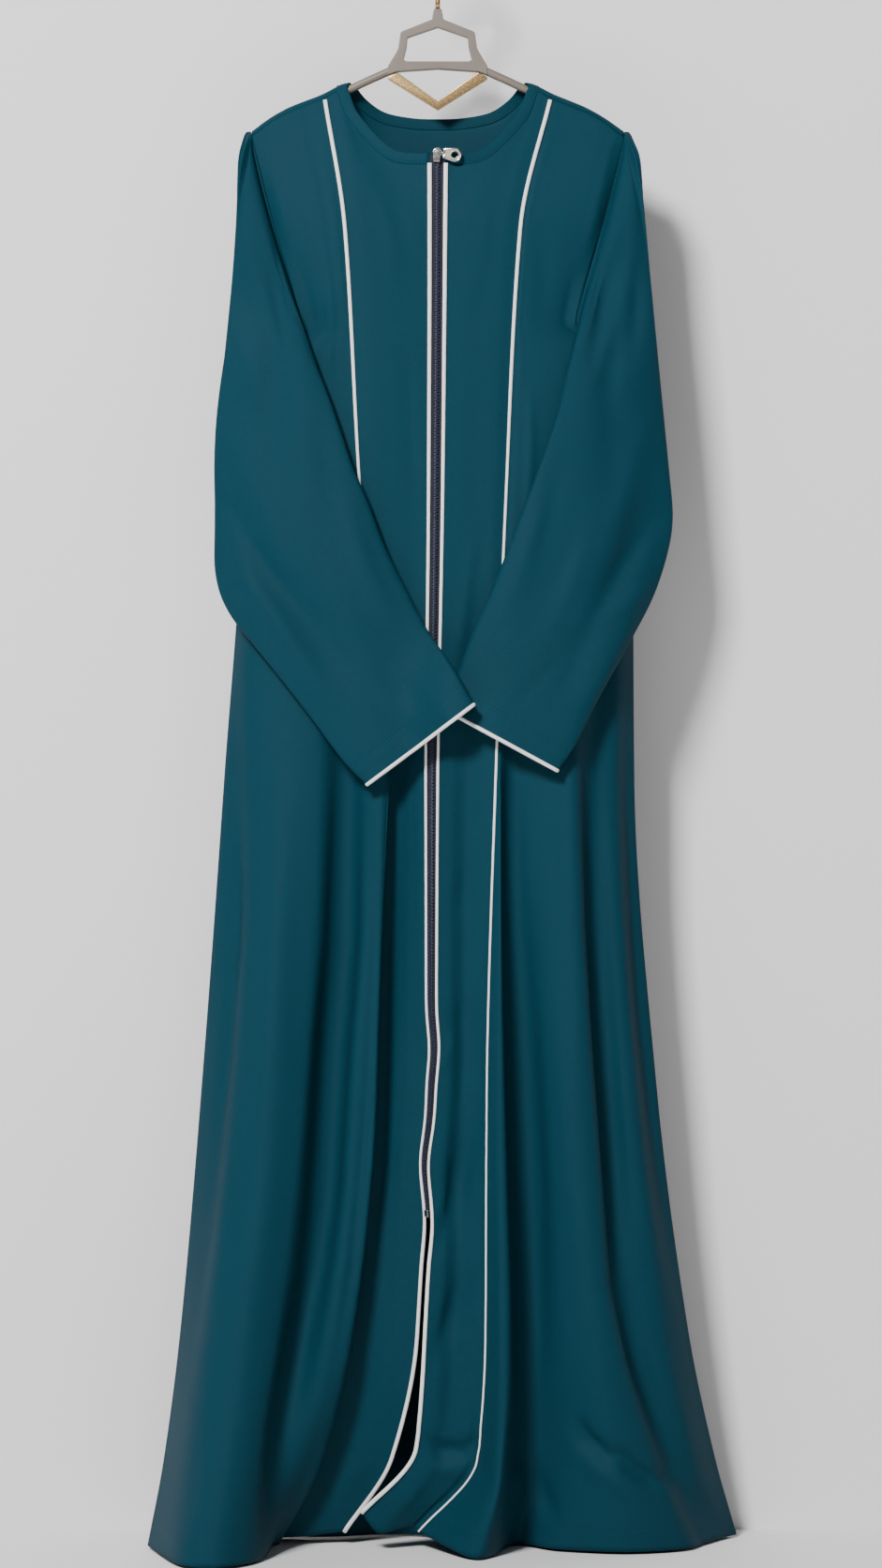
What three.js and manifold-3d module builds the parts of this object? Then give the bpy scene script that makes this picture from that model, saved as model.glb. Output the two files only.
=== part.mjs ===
// A floor-length abaya with a front zip, hung on a moulded hanger.
// Millimetres, +Z up, the front faces -Y and +X is the viewer's right.
// The origin is the point inside the hook that rests on the rail.
import * as THREE from "three";
import { mergeVertices } from "three/addons/utils/BufferGeometryUtils.js";
import Module from "manifold-3d";

const wasm = await Module();
wasm.setup();

// Cloth and seams
const clothThickness = 1.2;
const neckbandThickness = 1.5;
const neckbandWidth = 10.5;
const bandRidgeX = 92.5;
const seamGap = 0.3;
const pipingWidth = 4.4;
const pipingHeight = 2.6;
const pipingLift = 0.75;
const cuffPipingRadius = 1.9;

// Heights at which the tables below give a line's place
const level = { chest: -300, waist: -560, hip: -850, knee: -1150, shin: -1400, low: -1530, hem: -1614 };
const levels = [level.chest, level.waist, level.hip, level.knee, level.shin, level.low, level.hem];
const levelNames = ["chest", "waist", "hip", "knee", "shin", "low", "hem"];

// Shoulders and neckline
const shoulderX = 186;
const neckCornerX = 101;
const princessTopX = 113;
const ridgeRadius = 7.2;
const frontSeamAngle = 1.25;
const underarm = { x: 192, z: -422 };

// Zip
const zipCentreX = -1;
const zipTopZ = -225.5;
const coilWidth = 5;
const coilHeight = 1.8;
const coilLift = 0.9;
const slider = { width: 7.4, height: 9.4, thick: 5, topZ: -224, postRadius: 1.5, capRim: 1.1, capThick: 0.7 };
const link = { x: -0.1, z: -224.4, outer: 4.6, inner: 1.9, thick: 1.3 };
const tab = { hingeX: 5.4, length: 24, startWidth: 9.4, endRadius: 6.8, holeRadius: 3.4, thick: 1.6 };
const tabTilt = 0.14;
const tabEndTurn = 1.75;
const knuckle = { radius: 0.85, half: 1.6 };
const stop = { width: 6.6, height: 7, thick: 2.6 };

// Hanger
const armRadius = 4;
const frameDepth = 9;
const braceDepth = 4;
const wireRadius = 2.6;
const hookRadius = 20;
const hookTurn = { from: -1.05, to: 3.35 };

const cloth = new THREE.MeshStandardMaterial({ color: 0x174e5c, roughness: 0.75, metalness: 0 });
const piping = new THREE.MeshStandardMaterial({ color: 0xe9e7e1, roughness: 0.6, metalness: 0 });
const tapeCloth = new THREE.MeshStandardMaterial({ color: 0x23263c, roughness: 0.8, metalness: 0 });
const coilPlastic = new THREE.MeshStandardMaterial({ color: 0x3a3f5c, roughness: 0.45, metalness: 0 });
const silver = new THREE.MeshStandardMaterial({ color: 0xc4c4c2, roughness: 0.28, metalness: 1 });
const framePlastic = new THREE.MeshStandardMaterial({ color: 0x857a6d, roughness: 0.5, metalness: 0 });
const gold = new THREE.MeshStandardMaterial({ color: 0xc9ad82, roughness: 0.3, metalness: 1 });

// A smooth curve through a table's values that never overshoots them; the knots run downwards.
function smoothThrough(knots, values) {
  const steps = knots.slice(1).map((z, i) => z - knots[i]);
  const slopes = steps.map((h, i) => (values[i + 1] - values[i]) / h);
  const tangents = values.map((_, i) => {
    if (i === 0) return slopes[0];
    if (i === values.length - 1) return slopes[slopes.length - 1];
    const before = slopes[i - 1];
    const after = slopes[i];
    return before * after <= 0 ? 0 : (2 * before * after) / (before + after);
  });
  return (z) => {
    let i = 0;
    while (i < steps.length - 1 && z < knots[i + 1]) i += 1;
    const t = Math.min(Math.max((z - knots[i]) / steps[i], 0), 1);
    const rise = values[i + 1] - values[i];
    const a = steps[i] * tangents[i];
    const b = steps[i] * tangents[i + 1];
    return values[i] + t * (a + t * (3 * rise - 2 * a - b + t * (a + b - 2 * rise)));
  };
}

const mix = (a, b, t) => a + (b - a) * t;
const point = (x, y, z) => new THREE.Vector3(x, y, z);

// The shoulder's ridge falls from the neck and faster past the hanger's arm.
const ridgeHeight = smoothThrough([0, -88, -114, -159, -186, -200], [-150, -150, -161, -180, -199, -206]);
const ridgeAt = (x) => ridgeHeight(-Math.abs(x));

// A point of the cloth where it bends over the hanger's arm; the angle is 0 on top and grows to the front.
function overArm(x, angle) {
  const y = -ridgeRadius * Math.sin(angle);
  return point(x, y, ridgeAt(x) - ridgeRadius * (1 - Math.cos(angle)));
}

// Seams and edges that run down the front: x at each level.
const seams = {
  sideLeft: [-165, -195, -214, -236, -258, -275, -291],
  princessLeft: [-92, -77, -50, -57, -81, -113, -139],
  frontEdgeLeft: [-8, -9, -11, -11, -20, -45, -94],
  frontEdgeRight: [7.5, 5, 0, -2, -12.5, -21, -76],
  princessRight: [82, 68, 57, 49, 48, 40, -19],
  sideRight: [165, 195, 197, 219, 252, 280, 304],
};

// The closed zip wanders sideways a little where the cloth under it is folded.
const zipWander = [
  { z: -1114, by: 3, reach: 28 },
  { z: -1226, by: -5, reach: 34 },
  { z: -1290, by: 1.5, reach: 26 },
];

// Lines down the left half of the front, from the side seam to the zip.
// share is the place between the panel's seams above the waist; each level has x and the distance
// in front of the hanger's plane; lift is how far the hem is raised off the lowest level.
const leftLines = [
  { seam: "sideLeft", out: [16, 6, 0, 0, -3, -6, -8], lift: 0 },
  { share: 0.16, hip: [-196, 24], knee: [-213, 40], shin: [-233, 62], low: [-245, 80], hem: [-255, 92], lift: 0 },
  { share: 0.34, hip: [-155, 40], knee: [-168, 62], shin: [-196, 88], low: [-211, 104], hem: [-220, 112], lift: 0 },
  { share: 0.46, hip: [-119, 42], knee: [-134, 58], shin: [-160, 76], low: [-178, 88], hem: [-188, 92], lift: 0 },
  { share: 0.6, hip: [-92, 33], knee: [-110, 42], shin: [-136, 48], low: [-156, 55], hem: [-169, 60], lift: 0 },
  { share: 0.74, hip: [-62, 45], knee: [-72, 58], shin: [-101, 53], low: [-131, 28], hem: [-163, 6], lift: 0 },
  { share: 0.87, hip: [-46, 42], knee: [-53, 53], shin: [-84, 44], low: [-116, 14], hem: [-157, -6], lift: 1 },
  { seam: "princessLeft", out: [28, 33, 27, 26, 16, -5, -20], lift: 4 },
  { share: 0.2, hip: [-37, 26], knee: [-42, 24], shin: [-66, 12], low: [-98, -10], hem: [-128, -26], lift: 6 },
  { share: 0.5, hip: [-27, 31], knee: [-30, 28], shin: [-46, 18], low: [-76, -6], hem: [-114, -28], lift: 8 },
  { share: 0.75, hip: [-18, 37], knee: [-19, 32], shin: [-30, 22], low: [-56, -2], hem: [-103, -29], lift: 9 },
  { seam: "frontEdgeLeft", out: [30, 35, 41, 35, 25, 4, -28], lift: 11 },
];

// Lines down the right half of the front, from the zip to the side seam.
const rightLines = [
  { seam: "frontEdgeRight", out: [30, 35, 44, 45, 40, 26, 14], lift: 37 },
  { share: 0.25, hip: [14, 43], knee: [11, 44], shin: [2, 40], low: [-8, 28], hem: [-60, 10], lift: 16 },
  { share: 0.5, hip: [29, 40], knee: [24, 37], shin: [17, 34], low: [8, 27], hem: [-40, 6], lift: 19 },
  { share: 0.8, hip: [45, 45], knee: [38, 42], shin: [35, 40], low: [27, 31], hem: [-27, 3], lift: 21 },
  { seam: "princessRight", out: [28, 33, 49, 50, 46, 34, 4], lift: 16 },
  { share: 0.07, hip: [62, 53], knee: [62, 61], shin: [63, 65], low: [57, 63], hem: [30, 56], lift: 0 },
  { share: 0.14, hip: [68, 50], knee: [74, 55], shin: [78, 58], low: [68, 57], hem: [54, 46], lift: 0 },
  { share: 0.24, hip: [79, 39], knee: [88, 32], shin: [94, 19], low: [90, 2], hem: [80, -16], lift: 0 },
  { share: 0.38, hip: [106, 44], knee: [114, 44], shin: [127, 38], low: [137, 26], hem: [121, 14], lift: 0 },
  { share: 0.54, hip: [131, 50], knee: [141, 53], shin: [156, 49], low: [178, 38], hem: [188, 28], lift: 0 },
  { share: 0.64, hip: [148, 43], knee: [161, 46], shin: [184, 40], low: [215, 28], hem: [247, 10], lift: 0 },
  { share: 0.76, hip: [160, 26], knee: [174, 26], shin: [199, 18], low: [233, 2], hem: [268, -20], lift: 0 },
  { share: 0.9, hip: [179, 18], knee: [198, 20], shin: [228, 10], low: [259, -14], hem: [290, -52], lift: 0 },
  { seam: "sideRight", out: [16, 6, -4, -9, -24, -48, -70], lift: 2 },
];

// Soft cones of the back hem, from the left side seam to the right one: how far behind the hem stands.
const backCones = [
  { share: 0, out: 8 }, { share: 0.06, out: 46 }, { share: 0.17, out: 66 }, { share: 0.29, out: 57 },
  { share: 0.42, out: 74 }, { share: 0.55, out: 52 }, { share: 0.68, out: 76 }, { share: 0.81, out: 60 },
  { share: 0.93, out: 78 }, { share: 1, out: 70 },
];

// Rows of the cloth, as shares of the way from its top edge to the hem.
const rowShares = [
  0, 0.003, 0.009, 0.02, 0.038, 0.058, 0.08, 0.104, 0.125, 0.137, 0.1435, 0.15, 0.157, 0.2, 0.26, 0.32, 0.38,
  0.44, 0.5, 0.56, 0.62, 0.67, 0.715, 0.76, 0.8, 0.84, 0.885, 0.93, 0.968, 1,
];
const armholeRows = 12;
const armholeDeepRow = 9;
const zipRows = 23;

// The armhole's front edge scoops in from the shoulder to the chest, then runs back out under the arm.
const armholeFront = {
  knots: [-204, -240, -287, -334, -370, -394, -404, -413, -422],
  x: [186, 177, 165, 151, 141, 137, 150, 171, 192],
  out: [6, 11, 16, 20, 23, 24, 21, 13, 0.5],
};
const armholeBack = {
  knots: [-204, -240, -300, -360, -394, -410, -422],
  x: [186, 183, 179, 178, 181, 186, 192],
  out: [6, 10, 14, 15, 13, 8, 0.5],
};

// The neck seam in front: x measured from the middle, its height and its depth.
const neckSeamFront = { x: [101, 94, 87, 72, 49, 26, 8], z: [-160.5, -175, -190, -210, -229, -234, -234.5],
  out: [6.8, 10, 13, 17, 21, 23.5, 24] };

function wanderAt(z) {
  return zipWander.reduce((sum, w) => sum + w.by * Math.exp(-(((z - w.z) / w.reach) ** 2)), 0);
}

// The place of one line down the cloth: its top point and smooth curves for x and y below it.
function makeLine(top, x, y, lift, extraX = () => 0) {
  const knots = [top.z, ...levels.filter((z) => z < top.z - 20)];
  const skipped = levels.length - (knots.length - 1);
  const xAt = smoothThrough(knots, [top.x - extraX(top.z), ...x.slice(skipped)]);
  const yAt = smoothThrough(knots, [top.y, ...y.slice(skipped)]);
  return (share) => {
    const z = mix(top.z, level.hem, share) + lift * share ** 10;
    const under = mix(top.z, level.hem, share);
    return point(xAt(under) + extraX(z), yAt(under), z);
  };
}

// How far the smooth upper body stands out in front, rounding off to its sides.
function chestDepth(x, halfWidth, centre, edge) {
  const side = Math.min(Math.abs(x) / halfWidth, 1);
  return mix(edge, centre, (1 - side ** 2.4) ** (1 / 2.4));
}

// The armhole edge takes the place of a side line above the underarm.
function withArmhole(sideLine, table, side, sign) {
  const xAt = smoothThrough(table.knots, table.x);
  const outAt = smoothThrough(table.knots, table.out);
  return (share) => {
    const p = sideLine(share);
    if (p.z <= underarm.z) return p;
    return point(side * xAt(p.z), sign * outAt(p.z), p.z);
  };
}

function sideBelowArm(side, name, outs) {
  const top = overArm(side * shoulderX, frontSeamAngle);
  const xs = [...seams[name]];
  xs[0] = side * underarm.x;
  return makeLine(top, xs, outs, 0);
}
const leftSide = sideBelowArm(-1, "sideLeft", leftLines[0].out.map((d, i) => (i < 2 ? 0 : -d)));
const rightSide = sideBelowArm(1, "sideRight", rightLines[13].out.map((d, i) => (i < 2 ? 0 : -d)));

// How far the armhole and the underarm draw the side edge away from the plain line of the seams table.
function sideShift(side, name, sideLine) {
  const plain = smoothThrough(levels, seams[name]);
  const armX = smoothThrough(armholeFront.knots, armholeFront.x);
  const top = sideLine(0).z;
  return (z) => {
    if (z > underarm.z) return side * armX(z) - plain(z);
    return sideLine((z - top) / (level.hem - top)).x - plain(z);
  };
}
const leftShift = sideShift(-1, "sideLeft", leftSide);
const rightShift = sideShift(1, "sideRight", rightSide);

// Turns the rows of a fold table into lines; tops gives each line's top point.
function frontLines(table, tops) {
  let from = null;
  return table.map((row, i) => {
    if (row.seam) {
      from = row.seam;
      const wander = row.seam.startsWith("frontEdge") ? wanderAt : undefined;
      return makeLine(tops[i], seams[row.seam], row.out.map((d) => -d), row.lift, wander);
    }
    const to = table.slice(i).find((later) => later.seam).seam;
    const xs = [0, 1].map((k) => mix(seams[from][k], seams[to][k], row.share));
    const outs = [chestDepth(xs[0], 170, 31, 16), chestDepth(xs[1], 196, 36, 6)];
    levelNames.slice(2).forEach((name) => {
      xs.push(row[name][0]);
      outs.push(row[name][1]);
    });
    const follows = {
      sideLeft: (z) => leftShift(z) * (1 - row.share),
      princessLeft: (z) => wanderAt(z) * row.share,
      frontEdgeRight: (z) => wanderAt(z) * (1 - row.share),
      princessRight: (z) => rightShift(z) * row.share,
    };
    return makeLine(tops[i], xs, outs.map((d) => -d), row.lift, follows[from]);
  });
}

// Top points: along the shoulder from the armhole to the neck corner, then down the neck seam.
function shoulderTops(count, side) {
  const seamX = (t) => mix(shoulderX, princessTopX, t);
  return Array.from({ length: count }, (_, i) => overArm(side * seamX(i / (count - 1)), frontSeamAngle));
}
function neckTop(i, side) {
  if (i === 0) return overArm(side * neckCornerX, frontSeamAngle);
  return point(side * neckSeamFront.x[i], -neckSeamFront.out[i], neckSeamFront.z[i]);
}
const leftTops = [...shoulderTops(8, -1), neckTop(0, -1), neckTop(2, -1), neckTop(4, -1), neckTop(6, -1)];
const rightTops = [
  neckTop(6, 1), neckTop(4, 1), neckTop(2, 1), neckTop(0, 1), ...shoulderTops(10, 1).reverse(),
];

// A smooth surface across a set of lines: u counts the lines, share runs down the cloth.
function acrossLines(lines) {
  return (u, share) => {
    const i = Math.min(Math.floor(u), lines.length - 2);
    const t = u - i;
    const p = [i - 1, i, i + 1, i + 2].map((k) => {
      const kept = Math.min(Math.max(k, 0), lines.length - 1);
      return lines[kept](share);
    });
    const blend = (a, b, c, d) =>
      b + 0.5 * t * (c - a + t * (2 * a - 5 * b + 4 * c - d + t * (3 * (b - c) + d - a)));
    return point(
      blend(p[0].x, p[1].x, p[2].x, p[3].x),
      blend(p[0].y, p[1].y, p[2].y, p[3].y),
      blend(p[0].z, p[1].z, p[2].z, p[3].z),
    );
  };
}

const leftFrontLines = frontLines(leftLines, leftTops);
leftFrontLines[0] = withArmhole(leftSide, armholeFront, -1, -1);
const rightFrontLines = frontLines(rightLines, rightTops);
rightFrontLines[13] = withArmhole(rightSide, armholeFront, 1, -1);
const leftFront = acrossLines(leftFrontLines);
const rightFront = acrossLines(rightFrontLines);

// The back starts at the shoulder seam in front, bends over the arm and falls; its rows match the front's.
const backBendAngle = -1.2;
const backBendRows = 3;
const neckSeamBack = { x: [0, 27, 57, 79], z: [-193, -192, -186, -172], out: [27, 26.5, 24, 17] };

// Columns of the back, from its left edge to the middle: share of the hem's width, where the column starts,
// and the angle over the arm at which it starts; columns without one start on the neck seam behind.
const backColumns = [
  { share: 0, x: 186, angle: 1.25 }, { share: 0.035, x: 168, angle: 1.25 }, { share: 0.08, x: 150, angle: 1.25 },
  { share: 0.13, x: 132, angle: 1.25 }, { share: 0.18, x: 116, angle: 1.25 }, { share: 0.22, x: 101, angle: 1.25 },
  { share: 0.235, x: 100, angle: 0.6 }, { share: 0.25, x: 98, angle: 0 }, { share: 0.265, x: 96, angle: -0.6 },
  { share: 0.28, x: 93, angle: -1.2 }, { share: 0.33, x: 79 }, { share: 0.38, x: 57 }, { share: 0.44, x: 27 },
  { share: 0.5, x: 0 },
];
const cornerColumn = 5;

const armBackX = smoothThrough(armholeBack.knots, armholeBack.x);

function backFall(top, share, row) {
  const width = [leftSide(row), rightSide(row)];
  const fallZ = mix(top.z, level.hem, row);
  const reach = smoothThrough([top.z, level.chest, level.waist, level.hem], [0, 0.7, 1, 1])(fallZ);
  const side = share < 0.5 ? -1 : 1;
  const sideShare = Math.max(1 - Math.min(share, 1 - share) / 0.3, 0);
  const scoop = fallZ > underarm.z ? side * armBackX(fallZ) - (share < 0.5 ? width[0].x : width[1].x) : 0;
  const x = mix(top.x, mix(width[0].x, width[1].x, share), reach) + scoop * sideShare;
  const body = Math.sin(Math.PI * Math.min(Math.max(share, 0), 1)) ** 0.5;
  const hemOut = backHem(share);
  const waistOut = 30 * body;
  const edgeY = mix(width[0].y, width[1].y, share);
  const y = smoothThrough(
    [top.z, level.chest, level.waist, level.hip, level.hem],
    [top.y, 24 * body, waistOut, mix(waistOut, hemOut, 0.22), hemOut],
  )(fallZ);
  return point(x, y + (share < 0.001 || share > 0.999 ? edgeY - y : 0), fallZ);
}

// Depth of the back hem across its width: a smooth run through the cones between both side seams.
function backHem(share) {
  return smoothThrough(backCones.map((cone) => -cone.share), backCones.map((cone) => cone.out))(-share);
}

// One column of the back: where it starts over the arm it bends round it first, then it falls.
function backColumn({ share, x, angle }, side) {
  const bends = angle !== undefined;
  const seam = neckSeamBack.x.indexOf(x);
  const top = bends
    ? overArm(side * x, angle)
    : point(side * x, neckSeamBack.out[seam], neckSeamBack.z[seam]);
  const start = bends ? overArm(side * x, backBendAngle) : top;
  const used = bends ? rowShares[backBendRows] : 0;
  return (rowIndex) => {
    if (bends && rowIndex <= backBendRows) {
      return overArm(side * x, mix(angle, backBendAngle, rowIndex / backBendRows));
    }
    const row = rowShares[rowIndex];
    const left = (row - used) / (1 - used);
    const p = backFall(start, side < 0 ? share : 1 - share, row);
    return point(p.x, mix(start.y, p.y, Math.min(left / 0.05, 1)), mix(start.z, level.hem, left));
  };
}

// Grids: rows run down, columns run across; each cell is a point on the cloth's outer face.
function frontGrid(surface, lineCount, perLine) {
  const columns = (lineCount - 1) * perLine + 1;
  return rowShares.map((share) =>
    Array.from({ length: columns }, (_, c) => surface(c / perLine, share)),
  );
}
const perLine = 2;
const leftGrid = frontGrid(leftFront, leftLines.length, perLine);
const rightGrid = frontGrid(rightFront, rightLines.length, perLine);

function backGrid() {
  const leftHalf = backColumns.map((c) => backColumn(c, -1));
  const rightHalf = backColumns.slice(0, -1).reverse().map((c) => backColumn(c, 1));
  const columns = [...leftHalf, ...rightHalf];
  const grid = rowShares.map((_, r) => columns.map((column) => column(r)));
  const last = columns.length - 1;
  rowShares.forEach((share, r) => {
    [[0, -1, leftSide], [last, 1, rightSide]].forEach(([c, side, line]) => {
      const edge = withArmhole(line, armholeBack, side, 1)(share);
      if (r > backBendRows) grid[r][c] = edge;
    });
  });
  return grid;
}
const back = backGrid();

// Between the princess seam and the neck corner the top edge keeps to the shoulder seam.
const besideCorner = (princessTopX + neckCornerX) / 2;
leftGrid[0][7 * perLine + 1] = overArm(-besideCorner, frontSeamAngle);
rightGrid[0][3 * perLine + 1] = overArm(besideCorner, frontSeamAngle);

// Unit normals of a grid's points, averaged over the cells around them; they face away from the body.
function gridNormals(grid, outward, closed = false) {
  const rows = grid.length;
  const cols = grid[0].length;
  const at = (r, c) => {
    const row = grid[Math.min(Math.max(r, 0), rows - 1)];
    return closed ? row[(c + cols) % cols] : row[Math.min(Math.max(c, 0), cols - 1)];
  };
  return grid.map((line, r) =>
    line.map((_, c) => {
      const across = at(r, c + 1).clone().sub(at(r, c - 1));
      const down = at(r + 1, c).clone().sub(at(r - 1, c));
      return across.cross(down).multiplyScalar(outward).normalize();
    }),
  );
}

const leftNormals = gridNormals(leftGrid, -1);
const rightNormals = gridNormals(rightGrid, -1);
const backNormals = gridNormals(back, 1);

// Over the arm the cloth faces straight away from the arm's middle.
const overArmNormal = (angle) => point(0, -Math.sin(angle), Math.cos(angle));
for (let c = 0; c <= 8 * perLine; c += 1) leftNormals[0][c] = overArmNormal(frontSeamAngle);
for (let c = 3 * perLine; c < rightGrid[0].length; c += 1) rightNormals[0][c] = overArmNormal(frontSeamAngle);
backColumns.forEach(({ angle }, c) => {
  if (angle === undefined) return;
  for (let r = 0; r <= backBendRows; r += 1) {
    const normal = overArmNormal(mix(angle, backBendAngle, r / backBendRows));
    backNormals[r][c] = normal;
    backNormals[r][back[0].length - 1 - c] = normal.clone();
  }
});

// Front and back share their normals along the side seams, so that both walls lean the same way there.
function shareSideNormals(frontNormals, frontColumn, backColumnIndex) {
  for (let r = armholeRows; r < rowShares.length; r += 1) {
    const sum = frontNormals[r][frontColumn].clone().add(backNormals[r][backColumnIndex]).normalize();
    frontNormals[r][frontColumn] = sum;
    backNormals[r][backColumnIndex] = sum.clone();
  }
}
shareSideNormals(leftNormals, 0, 0);
shareSideNormals(rightNormals, rightGrid[0].length - 1, back[0].length - 1);

// A closed wall between an outer grid and the same grid moved inwards.
function wallGeometry(outer, inner, closed = false) {
  const rows = outer.length;
  const cols = outer[0].length;
  const positions = [];
  [outer, inner].forEach((grid) => grid.forEach((line) => line.forEach((p) => positions.push(p.x, p.y, p.z))));
  const id = (layer, r, c) => layer * rows * cols + r * cols + (c % cols);
  const index = [];
  const quad = (a, b, c, d) => index.push(a, b, c, a, c, d);
  const spans = closed ? cols : cols - 1;
  for (let r = 0; r < rows - 1; r += 1) {
    for (let c = 0; c < spans; c += 1) {
      quad(id(0, r, c), id(0, r, c + 1), id(0, r + 1, c + 1), id(0, r + 1, c));
      quad(id(1, r, c), id(1, r + 1, c), id(1, r + 1, c + 1), id(1, r, c + 1));
    }
    if (!closed) {
      quad(id(0, r, 0), id(0, r + 1, 0), id(1, r + 1, 0), id(1, r, 0));
      quad(id(0, r + 1, cols - 1), id(0, r, cols - 1), id(1, r, cols - 1), id(1, r + 1, cols - 1));
    }
  }
  for (let c = 0; c < spans; c += 1) {
    quad(id(0, 0, c + 1), id(0, 0, c), id(1, 0, c), id(1, 0, c + 1));
    quad(id(0, rows - 1, c), id(0, rows - 1, c + 1), id(1, rows - 1, c + 1), id(1, rows - 1, c));
  }
  const geometry = new THREE.BufferGeometry();
  geometry.setAttribute("position", new THREE.Float32BufferAttribute(positions, 3));
  geometry.setIndex(index);
  return geometry;
}

// Merges the corners that a geometry's faces share.
function welded(geometry) {
  geometry.deleteAttribute("normal");
  geometry.deleteAttribute("uv");
  return mergeVertices(geometry, 1e-4);
}

// Turns a geometry's faces round where they point inwards.
function facingOut(drawn) {
  const geometry = drawn.getIndex() ? drawn : welded(drawn);
  const p = geometry.getAttribute("position");
  const index = geometry.getIndex();
  let volume = 0;
  const corner = (i) => new THREE.Vector3().fromBufferAttribute(p, index.getX(i));
  for (let i = 0; i < index.count; i += 3) {
    volume += corner(i).dot(corner(i + 1).cross(corner(i + 2)));
  }
  if (volume < 0) {
    const turned = [];
    for (let i = 0; i < index.count; i += 3) turned.push(index.getX(i), index.getX(i + 2), index.getX(i + 1));
    geometry.setIndex(turned);
  }
  geometry.computeVertexNormals();
  return geometry;
}

function named(name, geometry, material) {
  const mesh = new THREE.Mesh(facingOut(geometry), material);
  mesh.name = name;
  return mesh;
}

function moved(grid, normals, by) {
  return grid.map((line, r) => line.map((p, c) => p.clone().addScaledVector(normals[r][c], by)));
}

// One panel: the columns from first to last of a grid, drawn back from its seams by half the gap.
function panel(name, grid, normals, first, last, trims) {
  const outer = grid.map((line) => line.slice(first, last + 1).map((p) => p.clone()));
  const facing = normals.map((line) => line.slice(first, last + 1));
  const end = last - first;
  const draw = (p, towards, by) => p.lerp(towards, by / Math.max(p.distanceTo(towards), by));
  outer.forEach((line) => {
    draw(line[0], line[1], trims.left);
    draw(line[end], line[end - 1], trims.right);
  });
  outer[0].forEach((p, c) => draw(p, outer[1][c], trims.top));
  return named(name, wallGeometry(outer, moved(outer, facing, -clothThickness)), cloth);
}

const half = seamGap / 2;
const princessTrim = 0.22;
const topTrim = 0.6;
const frontTrims = {
  leftOfPrincess: { left: half, right: princessTrim, top: topTrim },
  rightOfPrincess: { left: princessTrim, right: half, top: topTrim },
};
const princessColumn = { left: 7 * perLine, right: 4 * perLine };
const leftLast = leftGrid[0].length - 1;
const rightLast = rightGrid[0].length - 1;
const panels = [
  panel("side_left", leftGrid, leftNormals, 0, princessColumn.left, frontTrims.leftOfPrincess),
  panel("front_left", leftGrid, leftNormals, princessColumn.left, leftLast, frontTrims.rightOfPrincess),
  panel("front_right", rightGrid, rightNormals, 0, princessColumn.right, frontTrims.leftOfPrincess),
  panel("side_right", rightGrid, rightNormals, princessColumn.right, rightLast, frontTrims.rightOfPrincess),
  panel("back", back, backNormals, 0, back[0].length - 1, { left: half, right: half, top: half }),
];

// Piping along one column of a grid: a flat-backed bead on the seam, made from the cloth's own points.
function seamPiping(name, grid, normals, column, firstRow, lastRow, tape = null) {
  const cols = grid[0].length;
  const sideways = (r, towards) => {
    const beyond = column + towards < 0 || column + towards >= cols;
    if (beyond && tape && r <= zipRows) return tape.grid[r][tape.column].clone().sub(grid[r][column]);
    const neighbour = grid[r][Math.min(Math.max(column + towards, 0), cols - 1)];
    const centre = grid[r][column];
    return neighbour.distanceTo(centre) > 0.01 ? neighbour.clone().sub(centre) : null;
  };
  const ring = [];
  for (let r = firstRow; r <= lastRow; r += 1) {
    const centre = grid[r][column];
    const normal = normals[r][column];
    const right = sideways(r, 1) || sideways(r, -1).multiplyScalar(-1);
    const left = sideways(r, -1) || sideways(r, 1).multiplyScalar(-1);
    right.normalize();
    left.normalize();
    const wide = pipingWidth / 2;
    const beside = (way, out, up) => {
      const lean = normal.clone().addScaledVector(way, -normal.dot(way)).normalize();
      return centre.clone().addScaledVector(way, wide * out).addScaledVector(lean, pipingLift + up);
    };
    ring.push([
      beside(left, 1, 0),
      beside(left, 0.8, pipingHeight * 0.7),
      centre.clone().addScaledVector(normal, pipingLift + pipingHeight),
      beside(right, 0.8, pipingHeight * 0.7),
      beside(right, 1, 0),
      centre.clone().addScaledVector(normal, pipingLift * 1.3),
    ]);
  }
  return named(name, tubeGeometry(ring), piping);
}

// A closed tube through rings of points, capped flat at both ends.
function tubeGeometry(rings) {
  const count = rings[0].length;
  const positions = rings.flat().flatMap((p) => [p.x, p.y, p.z]);
  const index = [];
  for (let r = 0; r < rings.length - 1; r += 1) {
    for (let k = 0; k < count; k += 1) {
      const a = r * count + k;
      const b = r * count + ((k + 1) % count);
      index.push(a, b, b + count, a, b + count, a + count);
    }
  }
  const cap = (ringIndex, flip) => {
    const middle = new THREE.Vector3();
    rings[ringIndex].forEach((p) => middle.addScaledVector(p, 1 / count));
    const centre = positions.length / 3;
    positions.push(middle.x, middle.y, middle.z);
    for (let k = 0; k < count; k += 1) {
      const a = ringIndex * count + k;
      const b = ringIndex * count + ((k + 1) % count);
      if (flip) index.push(centre, b, a);
      else index.push(centre, a, b);
    }
  };
  cap(0, true);
  cap(rings.length - 1, false);
  const geometry = new THREE.BufferGeometry();
  geometry.setAttribute("position", new THREE.Float32BufferAttribute(positions, 3));
  geometry.setIndex(index);
  return geometry;
}

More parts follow.
